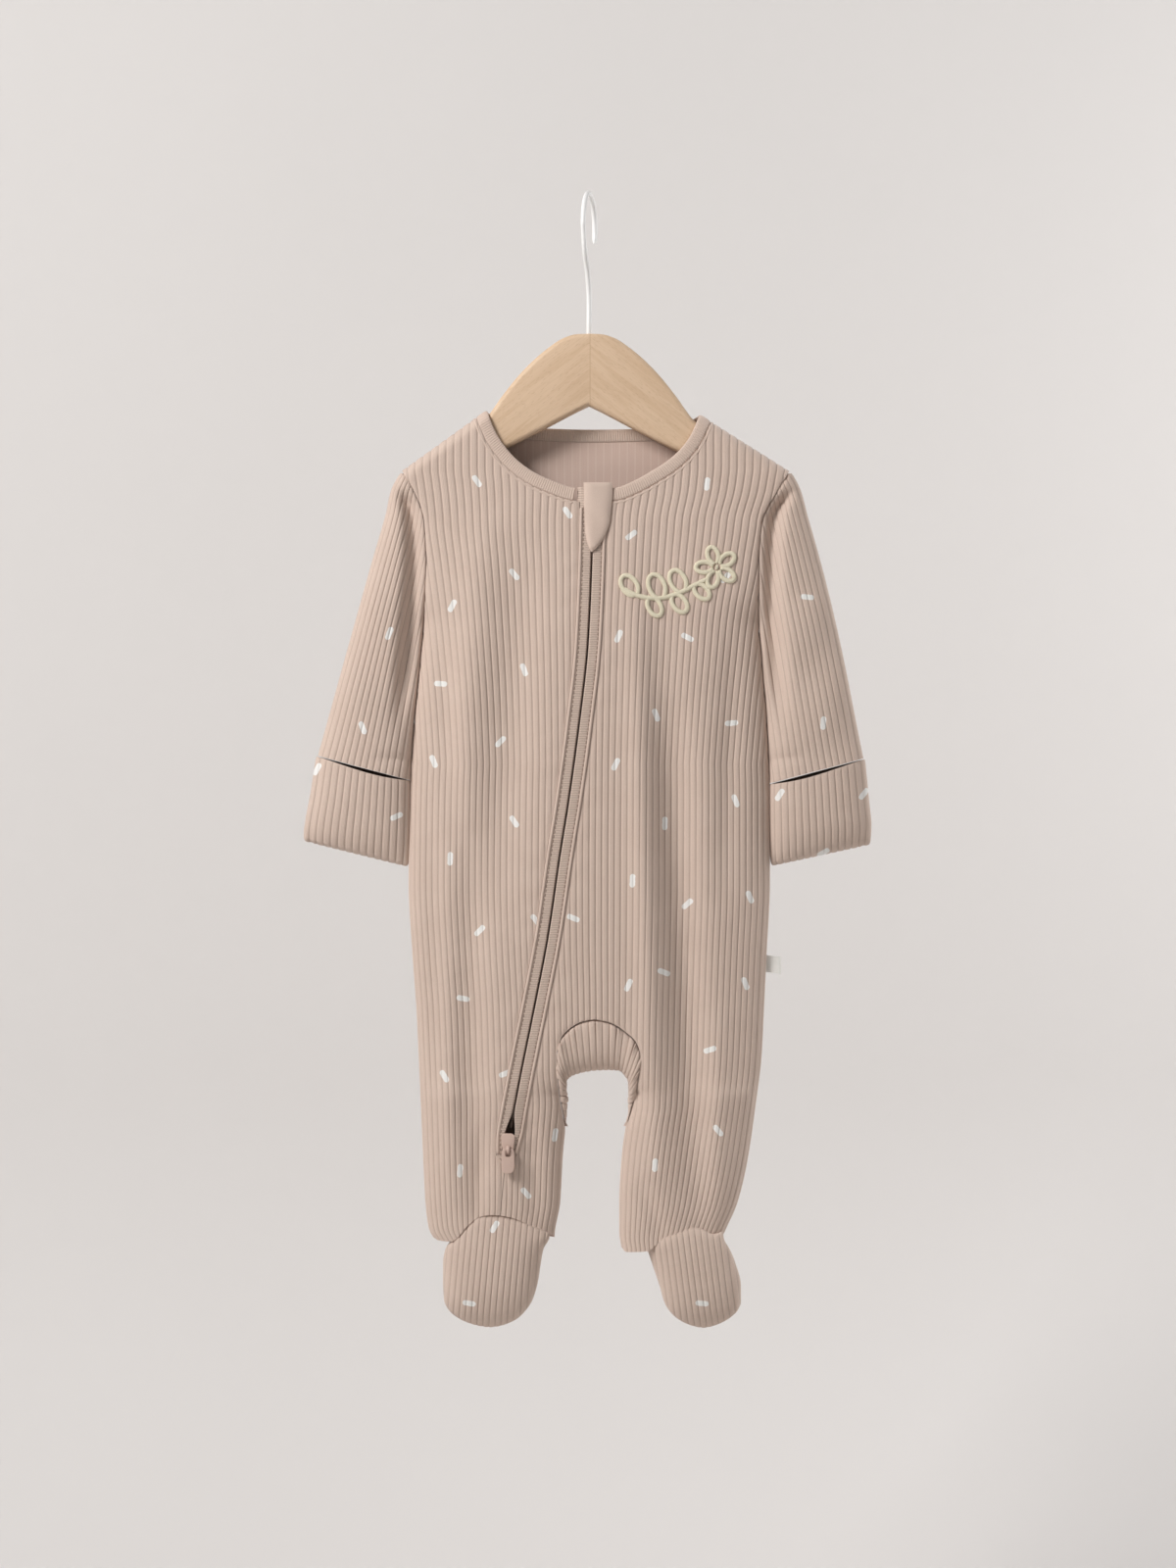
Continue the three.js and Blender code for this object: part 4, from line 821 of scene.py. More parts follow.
def loft(sections, at, where):
    """A smooth surface through sections: cubics whose slopes come from the sections beside."""
    sections = np.asarray(sections, float)
    slope = np.gradient(sections, at, axis=0)
    where = np.clip(where, at[0], at[-1])
    i = np.clip(np.searchsorted(at, where, side="right") - 1, 0, len(at) - 2)
    extra = (1,) * (sections.ndim - 1)
    span = (at[i + 1] - at[i]).reshape(-1, *extra)
    t = (where - at[i]).reshape(-1, *extra) / span
    straight = mix(sections[i], sections[i + 1], smooth(t))
    return straight + t * (1 - t) * ((1 - t) * slope[i] - t * slope[i + 1]) * span


def grid_normal(point, across_at, down_at, step=0.004, step_down=0.3):
    """Unit vectors out of the surface point(across, down), from short steps both ways."""
    low, high = np.clip(across_at - step, 0, 1), np.clip(across_at + step, 0, 1)
    beside = point(high, down_at) - point(low, down_at)
    below = point(across_at, down_at + step_down) - point(across_at, down_at - step_down)
    return unit(np.cross(beside, below))


def arm_face(lines, at, down, side, marks, edge_line, crease, sag=None, rims="tb"):
    """One face of a sleeve or cuff.

    Across it runs a lens from the outer edge (0) to the inner edge (1). The inner edge is where
    the lines in the table meet the body's side, x of z. Above the armpit the lens is still open
    there, as deep as the body's edge. crease is a depth taken off by share, distance from the
    inner edge and distance down. sag lowers the open top edge.
    """
    facing = -1.0 if side == "front" else 1.0
    columns = (np.arange(ARM_RIBS)[:, None] + RIB_STEPS[None]).ravel() / ARM_RIBS
    columns = np.concatenate([columns, [1.0]])

    def width_at(table):
        outer_x, outer_z, inner_x, inner_z, _ = table
        wide = np.ones_like(outer_x)
        for _ in range(30):
            met = (edge_line(mix(outer_z, inner_z, wide)) - outer_x) / (inner_x - outer_x)
            wide = mix(wide, np.clip(met, 0.02, 1), 0.7)
        return wide

    def point(share, down_at):
        table = [loft(lines, at, down_at)[:, k, None] for k in range(5)]
        outer_x, outer_z, inner_x, inner_z, deep = table
        wide = width_at(table)
        x, z = mix(outer_x, inner_x, share * wide), mix(outer_z, inner_z, share * wide)
        edge_x, edge_z = mix(outer_x, inner_x, wide), mix(outer_z, inner_z, wide)
        opened = np.clip((body_depth(side, edge_x, edge_z) - 0.6) / deep, 0, 1) * (wide < 0.999)
        profile = mix(lens(share), lens(share / 2), opened)
        from_edge = (1 - share) * wide * abs(inner_x - outer_x)
        depth = deep * profile - crease(share, from_edge, z) * np.minimum(1, 2 * profile)
        drop = sag(share, down_at[:, None]) if sag is not None else 0
        return np.stack([x, facing * np.maximum(depth, 0), z - drop], -1)

    table = [loft(lines, at, down)[:, k, None] for k in range(5)]
    wide = width_at(table)
    width_share = np.minimum(across(columns)[None], wide)
    share = width_share / wide
    base = point(share, down)
    out = grid_normal(point, share, down)
    out *= np.where(out[..., 1:2] * facing < 0, -1, 1)
    edge_x, edge_z = mix(table[0], table[2], wide), mix(table[1], table[3], wide)
    flat_out = unit(np.stack([table[0] - edge_x, 0 * edge_x, table[1] - edge_z], -1))
    closed = (body_depth(side, edge_x, edge_z) < 1.5) | (wide > 0.999)
    out = np.where((share <= 0)[..., None], flat_out, out)
    out = np.where(((share >= 0.9999) & closed)[..., None], -flat_out, out)
    phase = np.minimum(columns[None], cloth_share(wide)) * ARM_RIBS
    from_edge = (1 - share) * wide * abs(table[2] - table[0])
    pressed = np.where(wide < 0.999, mix(0.25, 1, smooth(from_edge / 2.2)), 1)
    pressed = pressed * mix(0.3, 1, smooth((down - 0.3) / 1.5))[:, None]
    kept = [c for c in range(len(columns)) if c % len(RIB_STEPS) == 0]
    run = np.repeat(down[:, None], len(columns), 1)
    return cloth_part(base, out, rib_height(phase) * pressed, kept, phase, run, MARKS[marks],
                      rims + "lr")


def sleeve_crease(share, from_edge, z):
    """Depth of the trough beside the armhole, of the soft folds below it and of the pucker
    above the cuff's slit."""
    live = smooth((-168 - z) / 12) * smooth((z + 318) / 50)
    trough = 8.0 * np.exp(-(((from_edge - 7.5) / 5) ** 2)) * live
    slanted = 0.9 * np.sin(z / 8.5 + 6 * share) * smooth((-215 - z) / 40) * (1 - share)
    pucker = 1.5 * np.exp(-(((z + 324 + 4 * share) / 2.6) ** 2)) * smooth((share - 0.5) / 0.3)
    return trough + slanted + pucker


for name, direction, side_line in (("left", -1, side_left), ("right", 1, side_right)):
    down = 170.4 * np.linspace(0, 1, 92) ** 1.15
    parts = [
        arm_face(SLEEVES[name], SLEEVE_AT, down, side, f"sleeve {name} {side}",
                 lambda z: side_line(z) + direction * 0.25, sleeve_crease)
        for side in ("front", "back")
    ]
    piece, area = ribbed_piece(f"cloth_sleeve_{name}", f"sleeve_{name}", parts)


# The crotch gusset: a ribbed piece with an arched top that fills the fork between the legs.
# It folds round the crotch and narrows to a point down each inner leg, in front and behind.

GUSSET = [
    # Share along the gusset, then its seam's x and z, then x and z of the fold between the legs
    (0.00, -13.9, -541.0, -13.6, -541.0),
    (0.08, -16.4, -530.0, -12.9, -530.0),
    (0.18, -18.3, -515.0, -13.4, -519.0),
    (0.27, -18.9, -500.0, -13.3, -514.8),
    (0.34, -16.2, -489.0, -11.4, -512.2),
    (0.41, -10.8, -483.2, -7.0, -510.2),
    (0.47, -4.0, -479.4, -1.6, -508.9),
    (0.53, 3.4, -478.2, 4.4, -508.1),
    (0.60, 12.0, -480.0, 11.4, -507.9),
    (0.67, 20.5, -485.0, 17.4, -508.3),
    (0.74, 27.2, -491.4, 21.0, -511.4),
    (0.80, 29.8, -499.0, 23.2, -516.0),
    (0.88, 28.6, -514.0, 23.3, -522.0),
    (0.95, 25.4, -530.0, 23.0, -531.0),
    (1.00, 21.8, -541.0, 21.4, -541.0),
]
GUSSET_RIBS = 30
stations = (np.arange(GUSSET_RIBS)[:, None] + RIB_STEPS[None]).ravel() / GUSSET_RIBS
stations = np.concatenate([stations, [1.0]])
seam = np.stack([curve(GUSSET, 1)(stations), curve(GUSSET, 2)(stations)], -1)
fold = np.stack([curve(GUSSET, 3)(stations), curve(GUSSET, 4)(stations)], -1)
inwards = (fold - seam) / np.maximum(np.linalg.norm(fold - seam, axis=1, keepdims=True), 1e-6)
seam = seam + inwards * np.minimum(0.45, 0.4 * np.linalg.norm(fold - seam, axis=1))[:, None]
turns = np.linspace(0, np.pi, 49)
flat = mix(seam[None], fold[None], np.sin(turns)[:, None, None])
x, z = flat[..., 0], flat[..., 1]
in_front = (turns < np.pi / 2)[:, None]
full = np.sin(turns)[:, None]
depth = np.where(in_front, body_depth("front", *seam.T), body_depth("back", *seam.T))
depth = depth * (1 - full**3) ** (1 / 3)
from_seam = np.linalg.norm(flat - seam[None], axis=-1)
depth = depth - 1.3 * np.exp(-from_seam / 1.2)
y = np.where(in_front, -depth, depth)
y[24] = 0  # the row in the middle plane, between the legs
base = np.stack([x, y, z], -1)
flat_out = np.where(in_front[..., None], body_normal("front", x, z), body_normal("back", x, z))
bulge_out = unit(np.cross(np.gradient(base, axis=0), np.gradient(base, axis=1)))
out = unit(bulge_out + 0.1 * flat_out)
out[24] = np.stack([inwards[:, 0], 0 * stations, inwards[:, 1]], -1)
phase = np.repeat(stations[None] * GUSSET_RIBS, len(turns), 0)
puckered = 1 + 2.4 * np.exp(-from_seam / 5) * smooth(np.sin(phase * 2.1) * 2)
at_tails = smooth(np.minimum(stations, 1 - stations) / 0.12)
raised = rib_height(phase) * puckered * smooth((from_seam + 0.1) / 1.2) * at_tails
parts = [cloth_part(base, out, raised, range(0, len(stations), len(RIB_STEPS)), phase,
                    np.cumsum(np.full(phase.shape, 0.6), axis=0), [])]
gusset, area = ribbed_piece("cloth_crotch_gusset", "crotch_gusset", parts)


# The feet: each a ribbed top and a ribbed sole, sewn together round the edge. The top's arched
# upper edge meets the leg's hem over the ankle, and the sole's heel bulges behind.

FOOT_PITCH = 3.5
FEET = {
    # Outline seen from the front: height, left edge, right edge
    "left": [
        (-588, -77.0, -22.0), (-605.5, -79.8, -23.0), (-612, -83.4, -26.4),
        (-620, -84.9, -27.9), (-631, -84.9, -29.6), (-642, -84.4, -32.8), (-648, -81.6, -36.6),
        (-653, -75.4, -41.8), (-656.2, -67.4, -48.4), (-657.2, -62.4, -52.6),
        (-657.6, -57.6, -57.5),
    ],
    "right": [
        (-588, 32.0, 77.0), (-605.5, 32.6, 78.2), (-612, 33.8, 81.6), (-619, 36.0, 84.6),
        (-634, 41.0, 88.4), (-643, 43.6, 88.4), (-648, 46.4, 86.6), (-652, 50.2, 82.6),
        (-655, 54.8, 77.8), (-656.8, 59.2, 73.4), (-657.7, 63.0, 69.8), (-658.1, 66.3, 66.4),
    ],
}
FOOT_DEPTHS = [
    (-592, 11.2, 11.3), (-606, 12.6, 11.6), (-618, 13.4, 16.5), (-634, 12.6, 14.0),
    (-646, 9.6, 9.6), (-653, 5.6, 5.6), (-656.4, 2.6, 2.6), (-658.1, 0.6, 0.6),
]
FOOT_LEAN = {"left": 0.09, "right": -0.13}  # how far the ribs lean, as x by z
MARKS.update({
    "foot left top": [(-54.7, -598.5, 58), (-69.5, -643.0, -8)],
    "foot right top": [(65.5, -643.0, -6)],
    "foot left sole": [(-50.0, -622.0, 40)],
    "foot right sole": [(64.0, -624.0, -50)],
})


def foot_piece(name, face):
    """One face of a foot: y of x and z is a lens between the outline's edges, which lie a little
    forward at the ankle. The ribs run straight down, gather on the outline and lean as one."""
    outline = FEET[name]
    left, right = curve(outline, 1), curve(outline, 2)
    deep = curve(FOOT_DEPTHS, 1 if face == "top" else 2)
    hem = front_hem if face == "top" else back_hem
    facing = -1 if face == "top" else 1
    lean = FOOT_LEAN[name]
    start = float(min(left(-631.0), left(-605.5))) - 6
    ribs = 20
    columns = (np.arange(ribs)[:, None] + RIB_STEPS[None]).ravel() / ribs
    columns = np.concatenate([columns, [1.0]])

    def place_x(share, z):
        return start + share * ribs * FOOT_PITCH + lean * (z + 631)

    def share_of(x, z):
        return np.clip((x - lean * (z + 631) - start) / (ribs * FOOT_PITCH), 0, 1)

    def surface(x, z):
        bulge = lens((x - left(z)) / np.maximum(right(z) - left(z), 0.05))
        seam_y = -6 * (1 - smooth((-604 - z) / 18))
        tucked = 1.9 * smooth((z - hem(x) + 1.6) / 1.8)  # under the leg's hem
        return seam_y * (1 - bulge) + facing * (SEAM_GAP + deep(z) * bulge - tucked * bulge)

    steps = np.sin(np.linspace(0, 1, 46) * np.pi / 2)[:, None]
    tip = outline[-1][0]

    def heights(share):
        top = np.full(share.shape, -600.0)
        for _ in range(30):
            top = mix(top, hem(place_x(share, top)) + 1.2, 0.6)
        return mix(top, tip, steps)

    share = np.repeat(columns[None], len(steps), 0)
    share = np.maximum(share, share_at(heights, share_of, left, len(steps)))
    share = np.minimum(share, share_at(heights, share_of, right, len(steps)))
    z = heights(share)
    x = np.clip(place_x(share, z), left(z), right(z))
    width = np.maximum(right(z) - left(z), 0.05)
    at_edge = (x - left(z) < 0.01) | (right(z) - x < 0.01) | (z - tip < 0.01) | (width < 0.1)
    base = np.stack([x, surface(x, z), z], -1)
    out = surface_normal(surface, facing, x, z, at_edge)
    outwards = np.stack([np.sign(x - mix(left(z), right(z), 0.5)), 0 * x, 0 * x], -1)
    out = np.where(at_edge[..., None], outwards, out)
    out[-1] = (0, 0, -1)
    from_edge = np.minimum(x - left(z), right(z) - x)
    raised = rib_height(share * ribs) * smooth(from_edge / 2.0)
    raised[0] *= 0.3
    kept = [c for c in range(len(columns)) if c % len(RIB_STEPS) == 0]
    part = cloth_part(base, out, raised, kept, share * ribs, z, MARKS[f"foot {name} {face}"])
    node = f"foot_{face}_{name}"
    piece, area = ribbed_piece(f"cloth_{node}", node, [part])


for name in ("left", "right"):
    for face in ("top", "sole"):
        foot_piece(name, face)


# The cuffs: folded over at the bottom as scratch mitts. The fold is below, and the slit for the
# hand lies in front, along the sleeve's end, where the cuff's edge hangs a little open.

CUFFS = {
    "left": [
        (-158.4, -326.0, -104.0, -340.0, 12.0), (-162.0, -349.0, -104.2, -362.6, 11.0),
        (-164.8, -364.0, -104.6, -378.6, 8.6), (-165.6, -371.0, -105.0, -385.6, 5.4),
        (-165.4, -374.0, -105.5, -388.6, 2.6), (-165.0, -375.0, -106.2, -389.6, 0.0),
    ],
    "right": [
        (160.2, -327.6, 105.0, -342.2, 12.0), (162.6, -352.0, 105.1, -364.0, 11.0),
        (163.9, -366.0, 105.4, -378.2, 8.6), (163.6, -373.0, 105.8, -385.2, 5.4),
        (163.2, -376.0, 106.3, -388.2, 2.6), (162.8, -377.0, 106.9, -389.2, 0.0),
    ],
}
CUFF_AT = np.array([0, 23.3, 38.6, 45.6, 48.6, 49.6])
MARKS.update({
    "cuff left front": [(-157.9, -333.4, 60), (-111.7, -360.8, 24)],
    "cuff left back": [(-134.0, -356.0, -35)],
    "cuff right front": [(110.6, -348.3, 58), (159.6, -347.7, 50), (136.2, -381.9, 30)],
    "cuff right back": [(132.0, -358.0, 20)],
})


def slit_sag(share, down):
    """How far the slit's edge hangs down, deepest towards the inner end."""
    return 1.9 * np.sin(np.pi * np.clip(share, 0, 1) ** 1.35) * (1 - smooth(down / 14))


def cuff_crease(share, from_edge, z):
    """Depth of a shallow groove along the cuff's outer edge, where it is sewn up."""
    return 0.7 * np.exp(-(((share - 0.07) / 0.018) ** 2))


for name, direction, side_line in (("left", -1, side_left), ("right", 1, side_right)):
    down = 49.6 * np.sin(np.linspace(0, 1, 34) * np.pi / 2)
    parts = [
        arm_face(CUFFS[name], CUFF_AT, down, side, f"cuff {name} {side}",
                 lambda z: 0 * z, cuff_crease, slit_sag if side == "front" else None)
        for side in ("front", "back")
    ]
    piece, area = ribbed_piece(f"cloth_cuff_{name}", f"cuff_{name}", parts)


# The neck binding: a doubled strip of fine rib, sewn round the neck and butted to the zip. Its
# little ribs run across the strip. A row of stitches holds the seam down just under it.

BINDING_GAP, BINDING_WIDTH, BINDING_THICKNESS = 0.0, 7.6, 2.6
BINDING_RIB = 1.35
front_lean = curve([
    (NECK_LEFT, 0.84), (-63.2, 0.86), (-59.9, 0.82), (-45.6, 0.6), (-29.1, 0.4), (-9.3, 0.2),
    (11.0, -0.05), (25.0, -0.3), (41.0, -0.53), (58.1, -0.74), (67.0, -0.86),
    (NECK_RIGHT, -0.82),
])
back_lean = curve([
    (NECK_LEFT, 0.84), (-62.0, 0.66), (-45.0, 0.25), (-25.0, 0.1), (30.0, -0.1), (50.0, -0.25),
    (66.0, -0.6), (NECK_RIGHT, -0.82),
])


def neck_points(side, x, reach, lift=0.0):
    """Points on the cloth's surface carried on over the neck seam, by reach, along its lean."""
    lean = front_lean(x) if side == "front" else back_lean(x)
    px = x + lean * reach
    pz = EDGES[side][0](x) + np.sqrt(1 - lean**2) * reach
    facing = -1 if side == "front" else 1
    return np.stack([px, facing * (body_depth(side, px, pz) + lift), pz], -1)


def neck_run(reach, lift=0.0, start=-9.3, end=11.0):
    """The line from the zip round the left shoulder, the back and the right to the zip again."""
    quarter = np.sin(np.linspace(0, 1, 300)[:-1] * np.pi / 2)
    half = (1 - np.cos(np.linspace(0, 1, 600) * np.pi)) / 2
    return np.concatenate([
        neck_points("front", mix(start, NECK_LEFT, quarter), reach, lift),
        neck_points("back", mix(NECK_LEFT, NECK_RIGHT, half), reach, lift),
        neck_points("front", mix(end, NECK_RIGHT, quarter), reach, lift)[::-1],
    ])


def even_run(line, count, *others):
    """Points at equal steps along a line, and the same places on lines that go with it."""
    steps = np.linalg.norm(np.diff(line, axis=0), axis=1)
    run = np.concatenate([[0], np.cumsum(steps)])
    want = np.linspace(0, run[-1], count)
    return [np.stack([np.interp(want, run, one[:, k]) for k in range(3)], -1)
            for one in (line, *others)] + [want]


def ring_tube(rings):
    """Points and faces of a closed tube through rings, with a fan on each end."""
    count, sides = rings.shape[:2]
    number = np.arange(count * sides).reshape(count, sides)
    faces = [grid_faces(np.concatenate([number, number[:, :1]], axis=1))]
    ends = count * sides + np.arange(2)
    for ring, end, forward in ((number[0], ends[0], True), (number[-1], ends[1], False)):
        fan = np.stack([np.roll(ring, -1), ring, np.full(sides, end)], -1)
        faces.append(fan if forward else fan[:, ::-1])
    points = np.concatenate([rings.reshape(-1, 3), rings[[0, -1]].mean(1)])
    return points, np.concatenate(faces)


def tube_layers(faces, count, sides, run, around):
    """The "cloth" map of a ring tube: place round it and place along it, in millimetres."""
    row, column = np.divmod(np.arange(count * sides), sides)
    value = np.stack([around * column / sides, run[row]], -1)
    value = np.concatenate([value, [[0, run[0]], [0, run[-1]]]])
    corners = value[faces]
    wraps = np.ptp(corners[..., 0], axis=1) > around / 2
    low = corners[..., 0] < around / 2
    corners[..., 0] += around * (wraps[:, None] & low)
    return {"cloth": corners}


def pipe(line, outwards, width, height, sides=8, power=1.0):
    """Rings of a pipe along a line, width across and height along outwards, as half sizes."""
    along = unit(np.gradient(line, axis=0))
    beside = unit(np.cross(along, outwards))
    up = np.cross(beside, along)
    turn = np.linspace(0, 2 * np.pi, sides, endpoint=False)
    cos = np.sign(np.cos(turn)) * abs(np.cos(turn)) ** power
    sin = np.sign(np.sin(turn)) * abs(np.sin(turn)) ** power
    width, height = (np.broadcast_to(size, len(line))[:, None, None] for size in (width, height))
    return (line[:, None] + beside[:, None] * width * cos[None, :, None]
            + up[:, None] * height * sin[None, :, None])


plain_cotton, tree, shader = new_material(
    "Plain cotton", Roughness=0.9, Sheen_Weight=0.25, Sheen_Roughness=0.5, Specular_IOR_Level=0.25)
where = put_node(tree, "ShaderNodeTexCoord").outputs["Object"]
changes = put_node(tree, "ShaderNodeGroup", node_tree=tone)
tree.links.new(where, changes.inputs["Vector"])
patch = step_between(tree, changes.outputs["Patches"], 0.3, 0.7)
soft = blend_colour(tree, calc(tree, "MULTIPLY", patch, 0.4), COTTON, COTTON_SHADE)
fibre = step_between(tree, changes.outputs["Fibres"], 0.35, 0.75)
soft = blend_colour(tree, calc(tree, "MULTIPLY", fibre, 0.22), soft, (0.78, 0.66, 0.57, 1))
tree.links.new(soft, shader.inputs["Base Color"])
stretch = put_node(tree, "ShaderNodeMapping", {"Vector": where, "Scale": (2200, 2200, 3400)})
loops = put_node(tree, "ShaderNodeTexNoise",
                 {"Vector": stretch.outputs[0], "Scale": 1.0, "Detail": 1.0}).outputs[0]
bump = put_node(tree, "ShaderNodeBump", {"Strength": 0.4, "Distance": 0.00012, "Height": loops})
tree.links.new(bump.outputs[0], shader.inputs["Normal"])

line = neck_run((BINDING_GAP + BINDING_WIDTH) / 2)
run_length = float(np.linalg.norm(np.diff(line, axis=0), axis=1).sum())
rib_count = int(run_length / BINDING_RIB)
_, low, high, run = even_run(line, rib_count * 5 + 1, neck_run(BINDING_GAP),
                             neck_run(BINDING_WIDTH))
tangent = unit(np.gradient(low, axis=0))
band = high - low
half_width = np.linalg.norm(band, axis=1)[:, None] / 2
band = unit(band)
out = unit(np.cross(tangent, band))
centre = (low + high) / 2 + out * 0.6
angle = np.linspace(0, 2 * np.pi, 20, endpoint=False)
square_cos = np.sign(np.cos(angle)) * abs(np.cos(angle)) ** 0.6
square_sin = np.sign(np.sin(angle)) * abs(np.sin(angle)) ** 0.75
little_rib = 0.5 - 0.5 * np.cos(2 * np.pi * run / (run_length / rib_count))
thick = BINDING_THICKNESS / 2 - 0.3 + 0.3 * little_rib[:, None] ** 0.6
rings = (centre[:, None] + band[:, None] * (half_width * square_cos)[..., None]
         + out[:, None] * (thick * square_sin)[..., None])
points, faces = ring_tube(rings)
layers = tube_layers(faces, len(rings), len(angle), run, 18.0)
binding = new_piece("neck_binding_strip", points, faces, plain_cotton, layers, sharp=70)
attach(binding, "garment")
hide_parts("neck_binding")

# The thread is coloured much darker than the cloth: painted shade standing in for the shadow in the
# stitch holes.
thread, tree, shader = new_material("Sewing thread with painted shade", Roughness=0.7, Sheen_Weight=0.2)
where = put_node(tree, "ShaderNodeTexCoord").outputs["Object"]
twist = put_node(tree, "ShaderNodeTexNoise", {"Vector": where, "Scale": 900.0, "Detail": 2.0})
tree.links.new(blend_colour(tree, twist.outputs[0], (0.40, 0.30, 0.24, 1), (0.31, 0.22, 0.18, 1)),
               shader.inputs["Base Color"])


def stitches(name, line, outwards, pitch=2.6, length=1.9, radius=0.26):
    """A row of stitches along a line: each is a small spindle, half sunk into the cloth.

    A spindle's rings shrink as the sine of the place along it; all spindles are one array.
    """
    count = max(2, int(np.linalg.norm(np.diff(line, axis=0), axis=1).sum() / pitch))
    middle, out, _ = even_run(line, count, outwards)
    along = unit(np.gradient(middle, axis=0))
    out = unit(out)
    beside = np.cross(along, out)
    t = np.linspace(0, np.pi, 6)
    turn = np.linspace(0, 2 * np.pi, 6, endpoint=False)
    reach = (-np.cos(t) * length / 2)[None, :, None, None]
    size = (np.sin(t) ** 0.5 * radius)[None, :, None, None]
    rings = (middle[:, None, None] + along[:, None, None] * reach
             + out[:, None, None] * size * np.cos(turn)[None, None, :, None]
             + beside[:, None, None] * size * np.sin(turn)[None, None, :, None])
    number = np.arange(count * 36).reshape(count, 6, 6)
    ring = np.concatenate([number, number[:, :, :1]], axis=2)
    a, b, c, d = ring[:, :-1, :-1], ring[:, :-1, 1:], ring[:, 1:, 1:], ring[:, 1:, :-1]
    faces = np.stack([a, b, c, a, c, d], -1).reshape(-1, 3)
    piece = new_piece(name, rings.reshape(-1, 3), faces, thread)
    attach(piece, "garment")
    return piece


def body_run(x, z, lift, side="front"):
    """Points on the trunk's ribs, and the unit vectors out of the cloth there."""
    base = np.stack([x, body_surface(side)(x, z), z], -1)
    out = body_normal(side, x, z)
    return base + out * lift, out


neck_seam = neck_run(-1.2)
neck_out = unit(np.cross(np.gradient(neck_seam, axis=0), neck_run(0.5) - neck_seam))
seam_line, seam_out, _ = even_run(neck_seam, 700, neck_out)
points, faces = ring_tube(pipe(seam_line, seam_out, 0.75, 0.62))
layers = tube_layers(faces, 700, 8, np.linspace(0, run_length, 700), 5.0)
ridge = new_piece("neck_seam_ridge", points, faces, plain_cotton, layers)
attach(ridge, "garment")
stitch_line = neck_run(-2.6)
stitches("stitches_neck", stitch_line + neck_out * 0.35, neck_out, radius=0.22)


# The zip: two woven tapes sewn to the fronts' edges, with a closed nylon coil in the slit
# between them. The tapes part slightly at the bottom, where the slider rests.

TAPE_DEPTH, COIL_DEPTH = 0.5, 1.9  # under the cloth's surface


def slit_half(z):
    """Half the gap between the tapes: wider at the slider, and closed again under it."""
    return 0.5 + 2.5 * smooth((-530 - z) / 16) * smooth((z + 560) / 5)


tape, tree, shader = new_material(
    "Woven tape", Roughness=0.85, Sheen_Weight=0.2, Sheen_Roughness=0.5, Specular_IOR_Level=0.3)
place = put_node(tree, "ShaderNodeUVMap", uv_map="cloth").outputs[0]
parts = put_node(tree, "ShaderNodeSeparateXYZ", {0: place}).outputs
weft = calc(tree, "SINE", calc(tree, "MULTIPLY", parts[1], 4.6))
warp = calc(tree, "SINE", calc(tree, "MULTIPLY", parts[0], 11.0))
woven = calc(tree, "ADD", calc(tree, "MULTIPLY", weft, 0.7), calc(tree, "MULTIPLY", warp, 0.4))
tint = step_between(tree, woven, -1.0, 1.0)
tree.links.new(blend_colour(tree, tint, (0.47, 0.365, 0.30, 1), (0.66, 0.525, 0.445, 1)),
               shader.inputs["Base Color"])
bump = put_node(tree, "ShaderNodeBump", {"Strength": 0.6, "Distance": 0.0002, "Height": woven})
tree.links.new(bump.outputs[0], shader.inputs["Normal"])

for name, direction in (("left", -1), ("right", 1)):
    z = np.linspace(-170, -560.3, 190)[:, None]
    outer = np.maximum(slit_half(z) + 1.2, zip_half(z) - SEAM_GAP)
    t = np.array([0, 0.02, 0.07, 0.15, 0.28, 0.45, 0.62, 0.76, 0.87, 0.94, 1.0, 1.22])[None]
    x = zip_line(z) + direction * mix(slit_half(z), outer, t)
    rolled = 1.0 * smooth(t / 0.08) * (1 - 0.55 * smooth((t - 0.55) / 0.4))
    y = -body_depth("front", x, z) + TAPE_DEPTH - rolled + 1.6 * smooth((t - 0.96) / 0.12)
    base = np.stack([x, y, z + 0 * x], -1)
    surface = np.cross(np.gradient(base, axis=1), np.gradient(base, axis=0)) * -direction
    points, faces, grid_place = cloth_wall(base, unit(surface),
                                           np.zeros(x.shape), range(12), thickness=0.7)
    row, column = grid_place[:, 0], grid_place[:, 1]
    layers = {"cloth": np.stack([abs(x - zip_line(z))[row, column], z[row, 0]], -1)[faces]}
    piece = new_piece(f"woven_tape_{name}", points, faces, tape, layers, sharp=60)
    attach(piece, "garment")
    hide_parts(f"zip_tape_{name}")
    z = np.linspace(-182, -556, 260)
    inset = np.minimum(1.25, 0.22 * zip_half(z))
    points, out = body_run(zip_line(z) + direction * (zip_half(z) - 2 * inset), z, 0.45)
    stitches(f"stitches_zip_{name}", points, out, radius=0.42)
    line, out = body_run(zip_line(z) + direction * (zip_half(z) - 0.9 * inset), z, 0.35)
    points, faces = ring_tube(pipe(line, out, 0.95, 0.75))
    layers = tube_layers(faces, len(z), 8, abs(z), 5.0)
    ridge = new_piece(f"zip_seam_ridge_{name}", points, faces, plain_cotton, layers)
    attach(ridge, "garment")

nylon, tree, shader = new_material("Nylon coil", Roughness=0.45)
where = put_node(tree, "ShaderNodeTexCoord").outputs["Object"]
speck = put_node(tree, "ShaderNodeTexNoise", {"Vector": where, "Scale": 500.0, "Detail": 2.0})
tree.links.new(blend_colour(tree, speck.outputs[0], (0.30, 0.22, 0.18, 1), (0.42, 0.32, 0.26, 1)),
               shader.inputs["Base Color"])
turns_count = 250
t = np.linspace(0, 1, turns_count * 10 + 1)
z = mix(-171.0, -541.0, t)
turn = 2 * np.pi * turns_count * t
middle_y = -body_depth("front", zip_line(z), z) + COIL_DEPTH
helix = np.stack([zip_line(z) + 0.5 * np.cos(turn), middle_y + 0.55 * np.sin(turn), z], -1)


